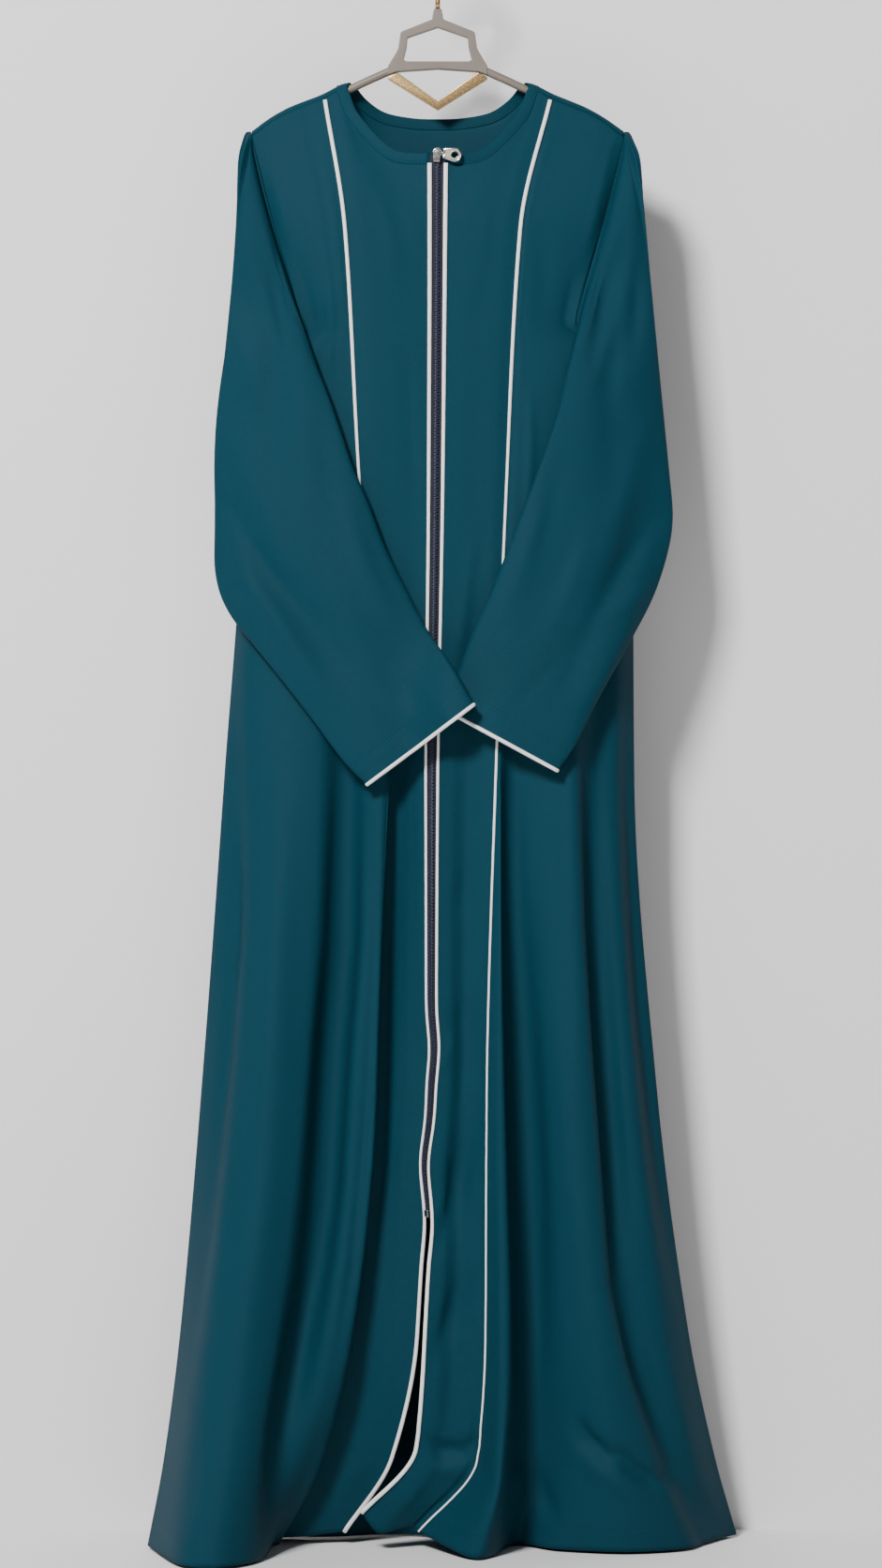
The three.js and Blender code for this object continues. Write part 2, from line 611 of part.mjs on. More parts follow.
const lastRow = rowShares.length - 1;
const leftOfZip = { grid: leftGrid, column: leftLast };
const rightOfZip = { grid: rightGrid, column: 0 };
const pipings = [
  seamPiping("princess_piping_left", leftGrid, leftNormals, princessColumn.left, 1, lastRow),
  seamPiping("princess_piping_right", rightGrid, rightNormals, princessColumn.right, 1, lastRow),
  seamPiping("front_piping_left", leftGrid, leftNormals, leftLast, 0, lastRow, rightOfZip),
  seamPiping("front_piping_right", rightGrid, rightNormals, 0, 0, lastRow, leftOfZip),
];

// Neckband: a strip that stands on the neck seam all the way round, open at the zip.
function neckbandMesh() {
  const cornerLeft = 8 * perLine;
  const cornerRight = 3 * perLine;
  const seam = [];
  const facing = [];
  const add = (p, normal) => {
    seam.push(p);
    facing.push(normal);
  };
  for (let c = leftLast; c >= cornerLeft; c -= 1) add(leftGrid[0][c], point(0, -1, 0));
  const bandColumns = [...backColumns.slice(cornerColumn + 1), ...backColumns.slice(cornerColumn + 1, -1).reverse()];
  bandColumns.forEach((column, i) => {
    const angle = column.angle === undefined ? -Math.PI / 2 : column.angle;
    add(back[0][cornerColumn + 1 + i], point(0, -Math.sin(angle), Math.cos(angle)));
  });
  for (let c = cornerRight; c >= 0; c -= 1) add(rightGrid[0][c], point(0, -1, 0));
  const last = seam.length - 1;
  const neckMiddle = point(0, 0, -140);
  const up = seam.map((p, i) => {
    const along = seam[Math.min(i + 1, last)].clone().sub(seam[Math.max(i - 1, 0)]);
    const way = along.cross(facing[i]).normalize();
    const inwards = neckMiddle.clone().sub(p);
    return way.dot(inwards) < 0 ? way.negate() : way;
  });
  up[0].set(0, 0, 1);
  up[last].set(0, 0, 1);
  seam.forEach((p, i) => {
    if (Math.abs(p.x) < bandRidgeX) return;
    const nearer = Math.abs(p.x) - neckbandWidth;
    up[i].set(-Math.sign(p.x) * neckbandWidth, 0, ridgeAt(nearer) - ridgeAt(p.x)).normalize();
  });
  const row = (distance) => seam.map((p, i) => p.clone().addScaledVector(up[i], distance));
  const grid = [row(neckbandWidth), row(neckbandWidth / 2), row(0.5)];
  const normals = gridNormals(grid, 1);
  return named("neckband", wallGeometry(grid, moved(grid, normals, -neckbandThickness)), cloth);
}

// Sleeves: each row is one flattened section, from the armhole to the cuff, with its outer and inner fold.
// The left sleeve lies over the right one at the cuffs.
const leftSleeveSections = [
  { outerX: -184, outerZ: -204, innerX: -136, innerZ: -394, half: 5 },
  { outerX: -186, outerZ: -215, innerX: -133, innerZ: -402, half: 6 },
  { outerX: -189, outerZ: -232, innerX: -129, innerZ: -411, half: 6.5 },
  { outerX: -194, outerZ: -257, innerX: -123, innerZ: -425, half: 7 },
  { outerX: -199, outerZ: -298, innerX: -117, innerZ: -443, half: 7.5 },
  { outerX: -205, outerZ: -354, innerX: -108, innerZ: -466, half: 8 },
  { outerX: -211, outerZ: -414, innerX: -97, innerZ: -498, half: 8 },
  { outerX: -217, outerZ: -475, innerX: -84, innerZ: -537, half: 8 },
  { outerX: -221, outerZ: -535, innerX: -69, innerZ: -572, half: 8 },
  { outerX: -222, outerZ: -595, innerX: -51, innerZ: -619, half: 8 },
  { outerX: -221, outerZ: -644, innerX: -30, innerZ: -662, half: 8 },
  { outerX: -207, outerZ: -682, innerX: -12, innerZ: -696, half: 8 },
  { outerX: -172, outerZ: -726, innerX: 4, innerZ: -720, half: 8 },
  { outerX: -131, outerZ: -778, innerX: 19, innerZ: -743, half: 8.5 },
  { outerX: -93, outerZ: -829, innerX: 30, innerZ: -763, half: 9 },
  { outerX: -71, outerZ: -851, innerX: 35, innerZ: -772, half: 9.5 },
];
const rightSleeveSections = [
  { outerX: 184, outerZ: -204, innerX: 136, innerZ: -394, half: 5 },
  { outerX: 187, outerZ: -215, innerX: 136, innerZ: -402, half: 6 },
  { outerX: 192, outerZ: -232, innerX: 134, innerZ: -412, half: 6.5 },
  { outerX: 198, outerZ: -257, innerX: 131, innerZ: -427, half: 7 },
  { outerX: 205, outerZ: -298, innerX: 126, innerZ: -449, half: 7.5 },
  { outerX: 212, outerZ: -354, innerX: 119, innerZ: -481, half: 8 },
  { outerX: 218, outerZ: -414, innerX: 107, innerZ: -518, half: 8 },
  { outerX: 224, outerZ: -475, innerX: 94, innerZ: -554, half: 8 },
  { outerX: 230, outerZ: -535, innerX: 80, innerZ: -592, half: 8 },
  { outerX: 234, outerZ: -586, innerX: 65, innerZ: -631, half: 8 },
  { outerX: 228, outerZ: -625, innerX: 51, innerZ: -665, half: 8 },
  { outerX: 212, outerZ: -670, innerX: 38, innerZ: -693, half: 8 },
  { outerX: 188, outerZ: -714, innerX: 27, innerZ: -721, half: 8 },
  { outerX: 161, outerZ: -763, innerX: 17, innerZ: -748, half: 8 },
  { outerX: 136, outerZ: -812, innerX: 11, innerZ: -767, half: 8.5 },
  { outerX: 119, outerZ: -837, innerX: 10, innerZ: -778, half: 9 },
];
const sleeveClearance = 4.6;
const clothClearance = 2.5;
const topPhase = 0.25;
const noCloth = 999;
const besideCloth = -8;
const armholeLedge = { front: 3, under: 8 };
const sleeveSeamGap = { front: 0.5, under: 1.7 };

// A map of how far the cloth stands out in front, in square cells over the upper body.
const cell = 6;
const fieldBox = { left: -330, right: 330, top: -130, bottom: -900 };
const fieldCols = Math.round((fieldBox.right - fieldBox.left) / cell);
const fieldRows = Math.round((fieldBox.top - fieldBox.bottom) / cell);
const cellOf = (x, z) => [Math.floor((x - fieldBox.left) / cell), Math.floor((fieldBox.top - z) / cell)];

function addToField(field, p) {
  const [c, r] = cellOf(p.x, p.z);
  if (c < 0 || r < 0 || c >= fieldCols || r >= fieldRows) return;
  const i = r * fieldCols + c;
  field[i] = Math.min(field[i], p.y);
}

function addSurface(field, surface, lineCount) {
  for (let share = 0; share < 0.52; share += 0.0025) {
    for (let u = 0; u <= lineCount - 1; u += 0.08) addToField(field, surface(u, share));
  }
}

// Widens the map's high places by some cells, then smooths it as far, so that it clears them all.
function clearedField(field, reach) {
  const sweep = (source, combine) => {
    const along = (values, step, other) => values.map((_, i) => {
      const fixed = Math.floor(i / step / other) * step * other + (i % step);
      const place = Math.floor(i / step) % other;
      const near = [];
      for (let k = Math.max(place - reach, 0); k <= Math.min(place + reach, other - 1); k += 1) {
        near.push(values[fixed + k * step]);
      }
      return combine(near);
    });
    return along(along(source, 1, fieldCols), fieldCols, fieldRows);
  };
  const widened = sweep(field, (near) => Math.min(...near)).map((y) => (y === noCloth ? besideCloth : y));
  return sweep(widened, (near) => near.reduce((sum, y) => sum + y, 0) / near.length);
}

function fieldAt(field, x, z) {
  const fx = Math.min(Math.max((x - fieldBox.left) / cell - 0.5, 0), fieldCols - 1.001);
  const fz = Math.min(Math.max((fieldBox.top - z) / cell - 0.5, 0), fieldRows - 1.001);
  const c = Math.floor(fx);
  const r = Math.floor(fz);
  const at = (dr, dc) => field[(r + dr) * fieldCols + c + dc];
  return mix(mix(at(0, 0), at(0, 1), fx - c), mix(at(1, 0), at(1, 1), fx - c), fz - r);
}

const openField = new Array(fieldCols * fieldRows).fill(noCloth);
addSurface(openField, leftFront, leftLines.length);
addSurface(openField, rightFront, rightLines.length);

// The foremost cloth in the cell that holds a place, or a large number over the armhole and outside.
function clothAt(x, z) {
  const [c, r] = cellOf(x, z);
  return openField[r * fieldCols + c];
}

// Near the underarm point the sleeve leaves the panel this way: steps from that point along the ring, and how far
// the way leads across and up.
const underarmWays = [
  { step: -2, across: 0.1, up: 1 },
  { step: -1, across: 0.15, up: 1 },
  { step: 0, across: 0.3, up: 1 },
  { step: 1, across: 0.7, up: 0.7 },
  { step: 2, across: 0.9, up: 0.45 },
  { step: 3, across: 1, up: 0.2 },
];

// The armhole's edge as one ring: down the front edge to its deepest point, under the arm, up the back edge.
// Each entry has the place and the way that leads off the panel there.
function armholeRing(frontGridUsed, frontColumn, backColumnIndex, inwardFront, inwardBack) {
  const places = [];
  const entry = (grid, r, column, inward) => ({ p: grid[r][column], inside: grid[r][column + inward] });
  for (let r = 0; r <= armholeRows; r += 1) places.push(entry(frontGridUsed, r, frontColumn, inwardFront));
  for (let r = armholeRows - 1; r >= 1; r -= 1) places.push(entry(back, r, backColumnIndex, inwardBack));
  return places.map(({ p, inside }, k) => {
    const before = places[(k + places.length - 1) % places.length].p;
    const after = places[(k + 1) % places.length].p;
    const along = after.clone().sub(before).normalize();
    const way = underarmWays.find(({ step }) => k === armholeRows + step);
    const away = way ? point(Math.sign(p.x) * way.across, 0, way.up) : p.clone().sub(inside);
    away.normalize();
    away.addScaledVector(along, -away.dot(along)).normalize();
    const part = k > armholeDeepRow ? "under" : "front";
    const seam = p.clone().addScaledVector(away, sleeveSeamGap[part]);
    return { seam, away, off: p.clone().addScaledVector(away, armholeLedge[part]) };
  });
}

function sleeveRings(sections, armholeEdge, field) {
  const count = armholeEdge.length;
  const phase = (k) =>
    k <= armholeDeepRow
      ? mix(topPhase, Math.PI, k / armholeDeepRow)
      : mix(Math.PI, 2 * Math.PI + topPhase, (k - armholeDeepRow) / (count - armholeDeepRow));
  const flat = (section, k) => {
    const t = (1 - Math.cos(phase(k))) / 2;
    const x = mix(section.outerX, section.innerX, t);
    const z = mix(section.outerZ, section.innerZ, t);
    const middle = fieldAt(field, x, z) - sleeveClearance - section.half;
    const sine = Math.sin(phase(k));
    return point(x, middle - section.half * Math.sign(sine) * Math.abs(sine) ** 0.7, z);
  };
  const frontPull = { across: [1, 0.8, 0.55, 0.3, 0.12, 0.03], deep: [1, 0.8, 0.55, 0.3, 0.12, 0.03] };
  const backPull = { across: [1, 1, 0.95, 0.6, 0.25, 0.05], deep: [1, 0.5, 0.12, 0.02] };
  const underarmRoll = [0, 1, 2, 2, 1];
  const rings = sections.map((section, r) =>
    armholeEdge.map((edge, k) => {
      const pull = k > armholeDeepRow ? backPull : frontPull;
      const across = pull.across[r] || 0;
      const offset = edge.off.clone().sub(flat(sections[0], k));
      offset.set(offset.x * across, offset.y * (pull.deep[r] || 0), offset.z * across);
      const p = flat(section, k).add(offset);
      if (k > armholeDeepRow) p.addScaledVector(edge.away, underarmRoll[r] || 0);
      const cloth = clothAt(p.x, p.z);
      if (r > 0 && cloth < noCloth) p.y = Math.min(p.y, cloth - clothClearance);
      return p;
    }),
  );
  return [armholeEdge.map((edge) => edge.seam.clone()), ...rings];
}

function sleeveMesh(name, rings, outward) {
  const normals = gridNormals(rings, outward, true);
  return named(name, wallGeometry(rings, moved(rings, normals, -clothThickness), true), cloth);
}

// A tube that closes on itself, through rings of points.
function loopGeometry(rings) {
  const count = rings[0].length;
  const positions = rings.flat().flatMap((p) => [p.x, p.y, p.z]);
  const index = [];
  rings.forEach((_, r) => {
    const next = (r + 1) % rings.length;
    for (let k = 0; k < count; k += 1) {
      const a = r * count + k;
      const b = r * count + ((k + 1) % count);
      const c = next * count + ((k + 1) % count);
      const d = next * count + k;
      index.push(a, b, c, a, c, d);
    }
  });
  const geometry = new THREE.BufferGeometry();
  geometry.setAttribute("position", new THREE.Float32BufferAttribute(positions, 3));
  geometry.setIndex(index);
  return geometry;
}

// The piping round a cuff sits on the sleeve's last section.
function cuffPiping(name, rings, outward) {
  const normals = gridNormals(rings, outward, true);
  const end = rings.length - 1;
  const sides = 6;
  const loops = rings[end].map((p, k) => {
    const down = p.clone().sub(rings[end - 1][k]).normalize();
    const normal = normals[end][k];
    const centre = p.clone()
      .addScaledVector(normal, -clothThickness / 2)
      .addScaledVector(down, seamGap + cuffPipingRadius);
    return Array.from({ length: sides }, (_, i) => {
      const a = (2 * Math.PI * (i + 0.5)) / sides;
      return centre.clone()
        .addScaledVector(normal, cuffPipingRadius * Math.cos(a))
        .addScaledVector(down, cuffPipingRadius * Math.sin(a));
    });
  });
  return named(name, loopGeometry(loops), piping);
}

const fieldReach = 3;
const bodyField = clearedField(openField, fieldReach);
const rightRings = sleeveRings(
  rightSleeveSections,
  armholeRing(rightGrid, rightLast, back[0].length - 1, -1, -1),
  bodyField,
);
const overRightSleeve = [...openField];
rightRings.slice(1).forEach((ring, r) => {
  ring.forEach((p, k) => {
    const before = rightRings[r][k];
    const beside = ring[(k + 1) % ring.length];
    const besideBefore = rightRings[r][(k + 1) % ring.length];
    for (let a = 0; a <= 1; a += 0.1) {
      for (let b = 0; b <= 1; b += 0.1) {
        addToField(overRightSleeve, before.clone().lerp(p, a).lerp(besideBefore.clone().lerp(beside, a), b));
      }
    }
  });
});
const leftRings = sleeveRings(
  leftSleeveSections,
  armholeRing(leftGrid, 0, 0, 1, 1),
  clearedField(overRightSleeve, fieldReach),
);
const sleeves = [
  sleeveMesh("sleeve_left", leftRings, -1),
  sleeveMesh("sleeve_right", rightRings, 1),
  cuffPiping("cuff_piping_left", leftRings, -1),
  cuffPiping("cuff_piping_right", rightRings, 1),
];

// Zip tapes: each runs from a front edge to the middle, from the neck edge to below the stop.
const tapeThickness = 1;
function zipLine(r, t) {
  const left = leftGrid[r][leftLast];
  const right = rightGrid[r][0];
  const width = left.distanceTo(right);
  const from = half / width;
  return left.clone().lerp(right, mix(from, 1 - from, t));
}
function zipNormal(r) {
  const across = rightGrid[r][0].clone().sub(leftGrid[r][leftLast]);
  const above = zipLine(Math.max(r - 1, 0), 0.5);
  const below = zipLine(Math.min(r + 1, zipRows), 0.5);
  return below.sub(above).cross(across).normalize();
}
const zipNormals = Array.from({ length: zipRows + 1 }, (_, r) => zipNormal(r));

function tapeMesh(name, from, to) {
  const grid = [];
  const facing = [];
  for (let r = 0; r <= zipRows; r += 1) {
    const width = leftGrid[r][leftLast].distanceTo(rightGrid[r][0]);
    const gapShare = half / width;
    const ends = [from === 0 ? gapShare : from + gapShare, to === 1 ? 1 - gapShare : to - gapShare];
    grid.push(ends.map((t) => zipLine(r, t)));
    const edgeNormal = from === 0 ? leftNormals[r][leftLast] : rightNormals[r][0];
    facing.push(from === 0 ? [edgeNormal, zipNormals[r]] : [zipNormals[r], edgeNormal]);
  }
  grid.unshift(grid[0].map((p) => point(p.x, p.y, zipTopZ)));
  facing.unshift([...facing[0]]);
  return named(name, wallGeometry(grid, moved(grid, facing, -tapeThickness)), tapeCloth);
}

// The closed coil: a low half-round rod on both tapes, from below the slider to the stop.
const coilTopZ = slider.topZ - slider.height - seamGap;
const stopTopZ = -1273;
function zipPointAt(z) {
  let r = 0;
  while (r < zipRows - 1 && zipLine(r + 1, 0.5).z > z) r += 1;
  const above = zipLine(r, 0.5);
  const below = zipLine(r + 1, 0.5);
  const t = (z - above.z) / (below.z - above.z);
  const across = rightGrid[r][0].clone().sub(leftGrid[r][leftLast]).normalize();
  return { place: above.lerp(below, t), normal: zipNormals[r], across };
}
function coilMesh() {
  const heights = [];
  for (let r = 1; r < zipRows; r += 1) heights.push(zipLine(r, 0.5).z);
  const stops = [coilTopZ, ...heights.filter((z) => z < coilTopZ - 3 && z > stopTopZ + 3), stopTopZ + seamGap];
  const rings = stops.map((z) => {
    const { place, normal, across } = zipPointAt(z);
    const at = (side, up) => place.clone().addScaledVector(across, side * coilWidth).addScaledVector(normal, up);
    return [
      at(-0.5, coilLift), at(-0.35, coilLift + coilHeight * 0.8), at(0, coilLift + coilHeight),
      at(0.35, coilLift + coilHeight * 0.8), at(0.5, coilLift),
    ];
  });
  return named("zip_coil", tubeGeometry(rings), coilPlastic);
}

// A solid from a three.js geometry, for joining pieces into one body.
function solidOf(geometry) {
  const bare = geometry.index ? geometry.toNonIndexed() : geometry.clone();
  const merged = welded(bare);
  return new wasm.Manifold(new wasm.Mesh({
    numProp: 3,
    vertProperties: merged.attributes.position.array,
    triVerts: new Uint32Array(merged.index.array),
  }));
}
function geometryOf(solid) {
  const mesh = solid.getMesh();
  const positions = [];
  for (let i = 0; i < mesh.numVert; i += 1) {
    positions.push(...mesh.vertProperties.slice(i * mesh.numProp, i * mesh.numProp + 3));
  }
  const geometry = new THREE.BufferGeometry();
  geometry.setAttribute("position", new THREE.Float32BufferAttribute(positions, 3));
  geometry.setIndex([...mesh.triVerts]);
  return geometry;
}
function joined(...geometries) {
  const solids = geometries.map((geometry) => solidOf(facingOut(geometry)));
  return geometryOf(solids.reduce((sum, solid) => sum.add(solid)));
}

// A flat piece cut from a shape drawn in X and Z, between two depths.
function plate(shape, frontY, backY, curveSegments = 10) {
  const geometry = new THREE.ExtrudeGeometry(shape, { depth: backY - frontY, bevelEnabled: false, curveSegments });
  return geometry.rotateX(Math.PI / 2).translate(0, backY, 0);
}
function roundBar(radius, frontY, backY, x, z, segments = 16) {
  return new THREE.CylinderGeometry(radius, radius, backY - frontY, segments).translate(x, (frontY + backY) / 2, z);
}

const tapeFrontY = -neckSeamFront.out[6];
const sliderBackY = tapeFrontY - seamGap;
const sliderFrontY = sliderBackY - slider.thick;
const linkBackY = sliderFrontY - seamGap;
const linkFrontY = linkBackY - link.thick;
const capBackY = linkFrontY - seamGap;

function sliderMesh() {
  const halfWide = slider.width / 2;
  const bottomZ = slider.topZ - slider.height;
  const body = new THREE.Shape();
  body.moveTo(zipCentreX - halfWide * 0.8, bottomZ);
  body.lineTo(zipCentreX + halfWide * 0.8, bottomZ);
  body.lineTo(zipCentreX + halfWide, slider.topZ - 3);
  body.lineTo(zipCentreX + halfWide * 0.6, slider.topZ + 3);
  body.lineTo(zipCentreX - halfWide * 0.6, slider.topZ + 3);
  body.lineTo(zipCentreX - halfWide, slider.topZ - 3);
  return named("zip_slider", joined(
    plate(body, sliderFrontY, sliderBackY),
    roundBar(slider.postRadius, capBackY - 0.1, sliderFrontY + 0.5, link.x, link.z),
    roundBar(slider.postRadius + slider.capRim, capBackY - slider.capThick, capBackY, link.x, link.z),
  ), silver);
}

// The eye link turns on the slider's post, and the pull tab hinges on the link's knuckle.
// Both are drawn lying along +X from the post and tilted together as the tab lies.
const tabHalfWidth = tab.startWidth / 2;
const tabEndX = tab.length - tab.endRadius;
function linkGeometry() {
  const ring = new THREE.Shape().absarc(0, 0, link.outer, 0, 2 * Math.PI, false);
  ring.holes.push(new THREE.Path().absarc(0, 0, link.inner, 0, 2 * Math.PI, true));
  const middleY = (linkFrontY + linkBackY) / 2;
  const bar = new THREE.CylinderGeometry(knuckle.radius, knuckle.radius, 2 * knuckle.half, 12);
  bar.rotateX(Math.PI / 2).translate(tab.hingeX, middleY, 0);
  return joined(plate(ring, linkFrontY, linkBackY), bar);
}
function tabGeometry() {
  const slot = knuckle.half + seamGap;
  const slotEnd = tab.hingeX + knuckle.radius + seamGap;
  const shape = new THREE.Shape();
  shape.moveTo(tab.hingeX, -tabHalfWidth);
  shape.absarc(tabEndX, 0, tab.endRadius, -tabEndTurn, tabEndTurn, false);
  shape.lineTo(tab.hingeX, tabHalfWidth);
  shape.lineTo(tab.hingeX, slot);
  shape.lineTo(slotEnd, slot);
  shape.lineTo(slotEnd, -slot);
  shape.lineTo(tab.hingeX, -slot);
  shape.holes.push(new THREE.Path().absarc(tabEndX, 0, tab.holeRadius, 0, 2 * Math.PI, true));
  const middleY = (linkFrontY + linkBackY) / 2;
  return plate(shape, middleY - tab.thick / 2, middleY + tab.thick / 2, 12);
}
const pull = new THREE.Group();
pull.position.set(link.x, 0, link.z);
pull.rotation.y = tabTilt;
pull.add(named("zip_link", linkGeometry(), silver), named("zip_pull_tab", tabGeometry(), silver));

// The bottom stop clamps the coil's end.
function stopMesh() {
  const { place, normal, across } = zipPointAt(stopTopZ - stop.height / 2);
  const box = new THREE.BoxGeometry(stop.width, stop.thick, stop.height);
  const down = across.clone().cross(normal);
  const turn = new THREE.Matrix4().makeBasis(across, normal, down);
  const centre = place.clone().addScaledVector(normal, seamGap * 1.5 + stop.thick / 2);
  return named("zip_stop", box.applyMatrix4(turn).translate(centre.x, centre.y, centre.z), silver);
}

// Hanger frame: a house-shaped handle window over a beam, with an arm to each shoulder.
const frameHalf = [
  [3.9, -77], [5.8, -87.5], [35.6, -99.4], [37.2, -101], [39.5, -116.5], [41.5, -120.5], [49.7, -134],
  [49.7, -143], [41, -139.7],
];
const windowHalf = [[30, -105.6], [31, -115.9], [34, -127.5], [31.5, -129.4]];
const mirroredLeft = (points) => points.slice().reverse().map(([x, z]) => [-x, z]);
const toVectors = (points) => points.map(([x, z]) => new THREE.Vector2(x, z));

const armPath = [[40, -135.3], [50, -139.5], [70, -148.4], [89, -157.4]];
const armStations = [
  { x: 101, below: 0 }, { x: 114, below: 0 }, { x: 129, below: 0.1 }, { x: 144, below: 0.4 },
  { x: 157, below: 1 }, { x: 167, below: 2.4 },
];

function armGeometry(side) {
  const centres = [...armPath, ...armStations.map((s) => [s.x, ridgeAt(s.x) - ridgeRadius - s.below])];
  const sides = 8;
  const rings = centres.map(([x, z], i) => {
    const before = centres[Math.max(i - 1, 0)];
    const after = centres[Math.min(i + 1, centres.length - 1)];
    const along = new THREE.Vector2(after[0] - before[0], after[1] - before[1]).normalize();
    return Array.from({ length: sides }, (_, k) => {
      const a = (2 * Math.PI * (k + 0.5)) / sides;
      const up = armRadius * Math.cos(a);
      return point(side * (x - along.y * up), armRadius * Math.sin(a), z + along.x * up);
    });
  });
  return facingOut(tubeGeometry(rings));
}

function frameMesh() {
  const outline = new THREE.Shape(toVectors([...frameHalf, [0, -136.9], ...mirroredLeft(frameHalf)]));
  const opening = [[0, -95.3], ...windowHalf, ...mirroredLeft(windowHalf)].reverse();
  outline.holes.push(new THREE.Path(toVectors(opening)));
  const house = facingOut(plate(outline, -frameDepth / 2, frameDepth / 2));
  return named("hanger_frame", joined(house, armGeometry(-1), armGeometry(1)), framePlastic);
}

// The brace: from its lowest tip out to the end that bears on the arm's underside, and the tip of its inner edge.
const braceHalf = [[0, -178.1], [49.5, -147.3], [49.5, -144.7], [40.5, -140]];
const braceInnerTip = [0, -168.8];
function braceMesh() {
  const outline = [...braceHalf, braceInnerTip, ...mirroredLeft(braceHalf.slice(1))];
  const shape = new THREE.Shape(toVectors(outline));
  return named("hanger_brace", plate(shape, -braceDepth / 2, braceDepth / 2), gold);
}

// Hook: a straight shank from the collar, then most of a circle over the rail.
function hookMesh() {
  const centreRadius = hookRadius + wireRadius;
  const path = [[0, -77 + seamGap], [0, -66], [0.6, -57], [3.4, -48.5]];
  const arcSteps = 16;
  for (let i = 0; i <= arcSteps; i += 1) {
    const a = mix(hookTurn.from, hookTurn.to, i / arcSteps);
    path.push([centreRadius * Math.cos(a), -hookRadius + centreRadius * Math.sin(a)]);
  }
  const sides = 10;
  const rings = path.map(([x, z], i) => {
    const before = path[Math.max(i - 1, 0)];
    const after = path[Math.min(i + 1, path.length - 1)];
    const along = new THREE.Vector2(after[0] - before[0], after[1] - before[1]).normalize();
    return Array.from({ length: sides }, (_, k) => {
      const a = (2 * Math.PI * k) / sides;
      const out = wireRadius * Math.cos(a);
      return point(x - along.y * out, wireRadius * Math.sin(a), z + along.x * out);
    });
  });
  return named("hanger_hook", tubeGeometry(rings), gold);
}

const group = new THREE.Group();
group.add(...panels, ...pipings, neckbandMesh(), ...sleeves);
group.add(tapeMesh("zip_tape_left", 0, 0.5), tapeMesh("zip_tape_right", 0.5, 1), coilMesh(), stopMesh());
group.add(sliderMesh(), pull, frameMesh(), braceMesh(), hookMesh());
export default group;
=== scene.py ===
# An abaya on a hanger: its fine cloth, seams, zip and hanger over the plain solids.
# Sizes are in millimetres here and become metres where a mesh is made.
# The front faces -Y, and +X is the viewer's right.
import math

import bmesh
import bpy
import numpy as np
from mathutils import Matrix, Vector


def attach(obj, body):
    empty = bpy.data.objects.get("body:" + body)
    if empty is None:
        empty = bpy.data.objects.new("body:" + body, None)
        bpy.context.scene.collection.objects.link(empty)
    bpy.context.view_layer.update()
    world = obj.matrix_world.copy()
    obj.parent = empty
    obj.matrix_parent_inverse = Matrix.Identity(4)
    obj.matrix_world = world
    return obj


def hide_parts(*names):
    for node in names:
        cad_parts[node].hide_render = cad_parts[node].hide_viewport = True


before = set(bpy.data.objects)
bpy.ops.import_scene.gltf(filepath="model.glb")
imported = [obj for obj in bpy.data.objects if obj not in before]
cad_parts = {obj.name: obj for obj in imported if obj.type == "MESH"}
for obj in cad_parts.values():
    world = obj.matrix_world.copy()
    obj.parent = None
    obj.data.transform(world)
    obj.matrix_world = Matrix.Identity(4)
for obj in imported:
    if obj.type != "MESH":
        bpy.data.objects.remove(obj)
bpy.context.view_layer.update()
MM = 0.001

# Cloth and seams
CLOTH = 1.0
BAND_THICK = 1.5
BAND_WIDTH = 10.5
BAND_RIDGE_X = 92.5
BAND_SWELL = 0.5
NECK_MIDDLE = (0.0, 0.0, -140.0)
CUFF_PIPING_RADIUS = 1.9
SEAM_GAP = 0.3
HEM_TURN = 22

# Heights at which the tables below give a line's place
LEVELS = {"chest": -300, "waist": -560, "hip": -850, "knee": -1150, "shin": -1400, "low": -1530, "hem": -1614}
HEIGHTS = list(LEVELS.values())
HEM = LEVELS["hem"]

# Shoulders and neckline
SHOULDER_X = 186
NECK_CORNER_X = 101
PRINCESS_TOP_X = 113
RIDGE_RADIUS = 7.2
FRONT_SEAM_ANGLE = 1.25
BACK_BEND_ANGLE = -1.2
UNDERARM_X, UNDERARM_Z = 192, -422

# Rows run down the cloth as shares of the way from its top edge to the hem
ARMHOLE_SHARE = 0.157
ZIP_SHARE = 0.76
BEND_SHARES = [0, 0.003, 0.009, 0.02]
SHARES = np.concatenate([
    np.linspace(0, 0.02, 9)[:-1],
    np.linspace(0.02, ARMHOLE_SHARE, 32)[:-1],
    np.linspace(ARMHOLE_SHARE, ZIP_SHARE, 132)[:-1],
    np.linspace(ZIP_SHARE, 1, 64),
])
COARSE_ROWS = np.array([
    *BEND_SHARES, 0.038, 0.058, 0.08, 0.104, 0.125, 0.137, 0.1435, 0.15, ARMHOLE_SHARE,
])
ARMHOLE_DEEP_ROW = 9


def xyz(x, y, z):
    return np.stack(np.broadcast_arrays(np.asarray(x, float), y, z), axis=-1)


def mix(a, b, t):
    return a + (b - a) * t


def unit(v):
    return v / np.maximum(np.linalg.norm(v, axis=-1, keepdims=True), 1e-9)


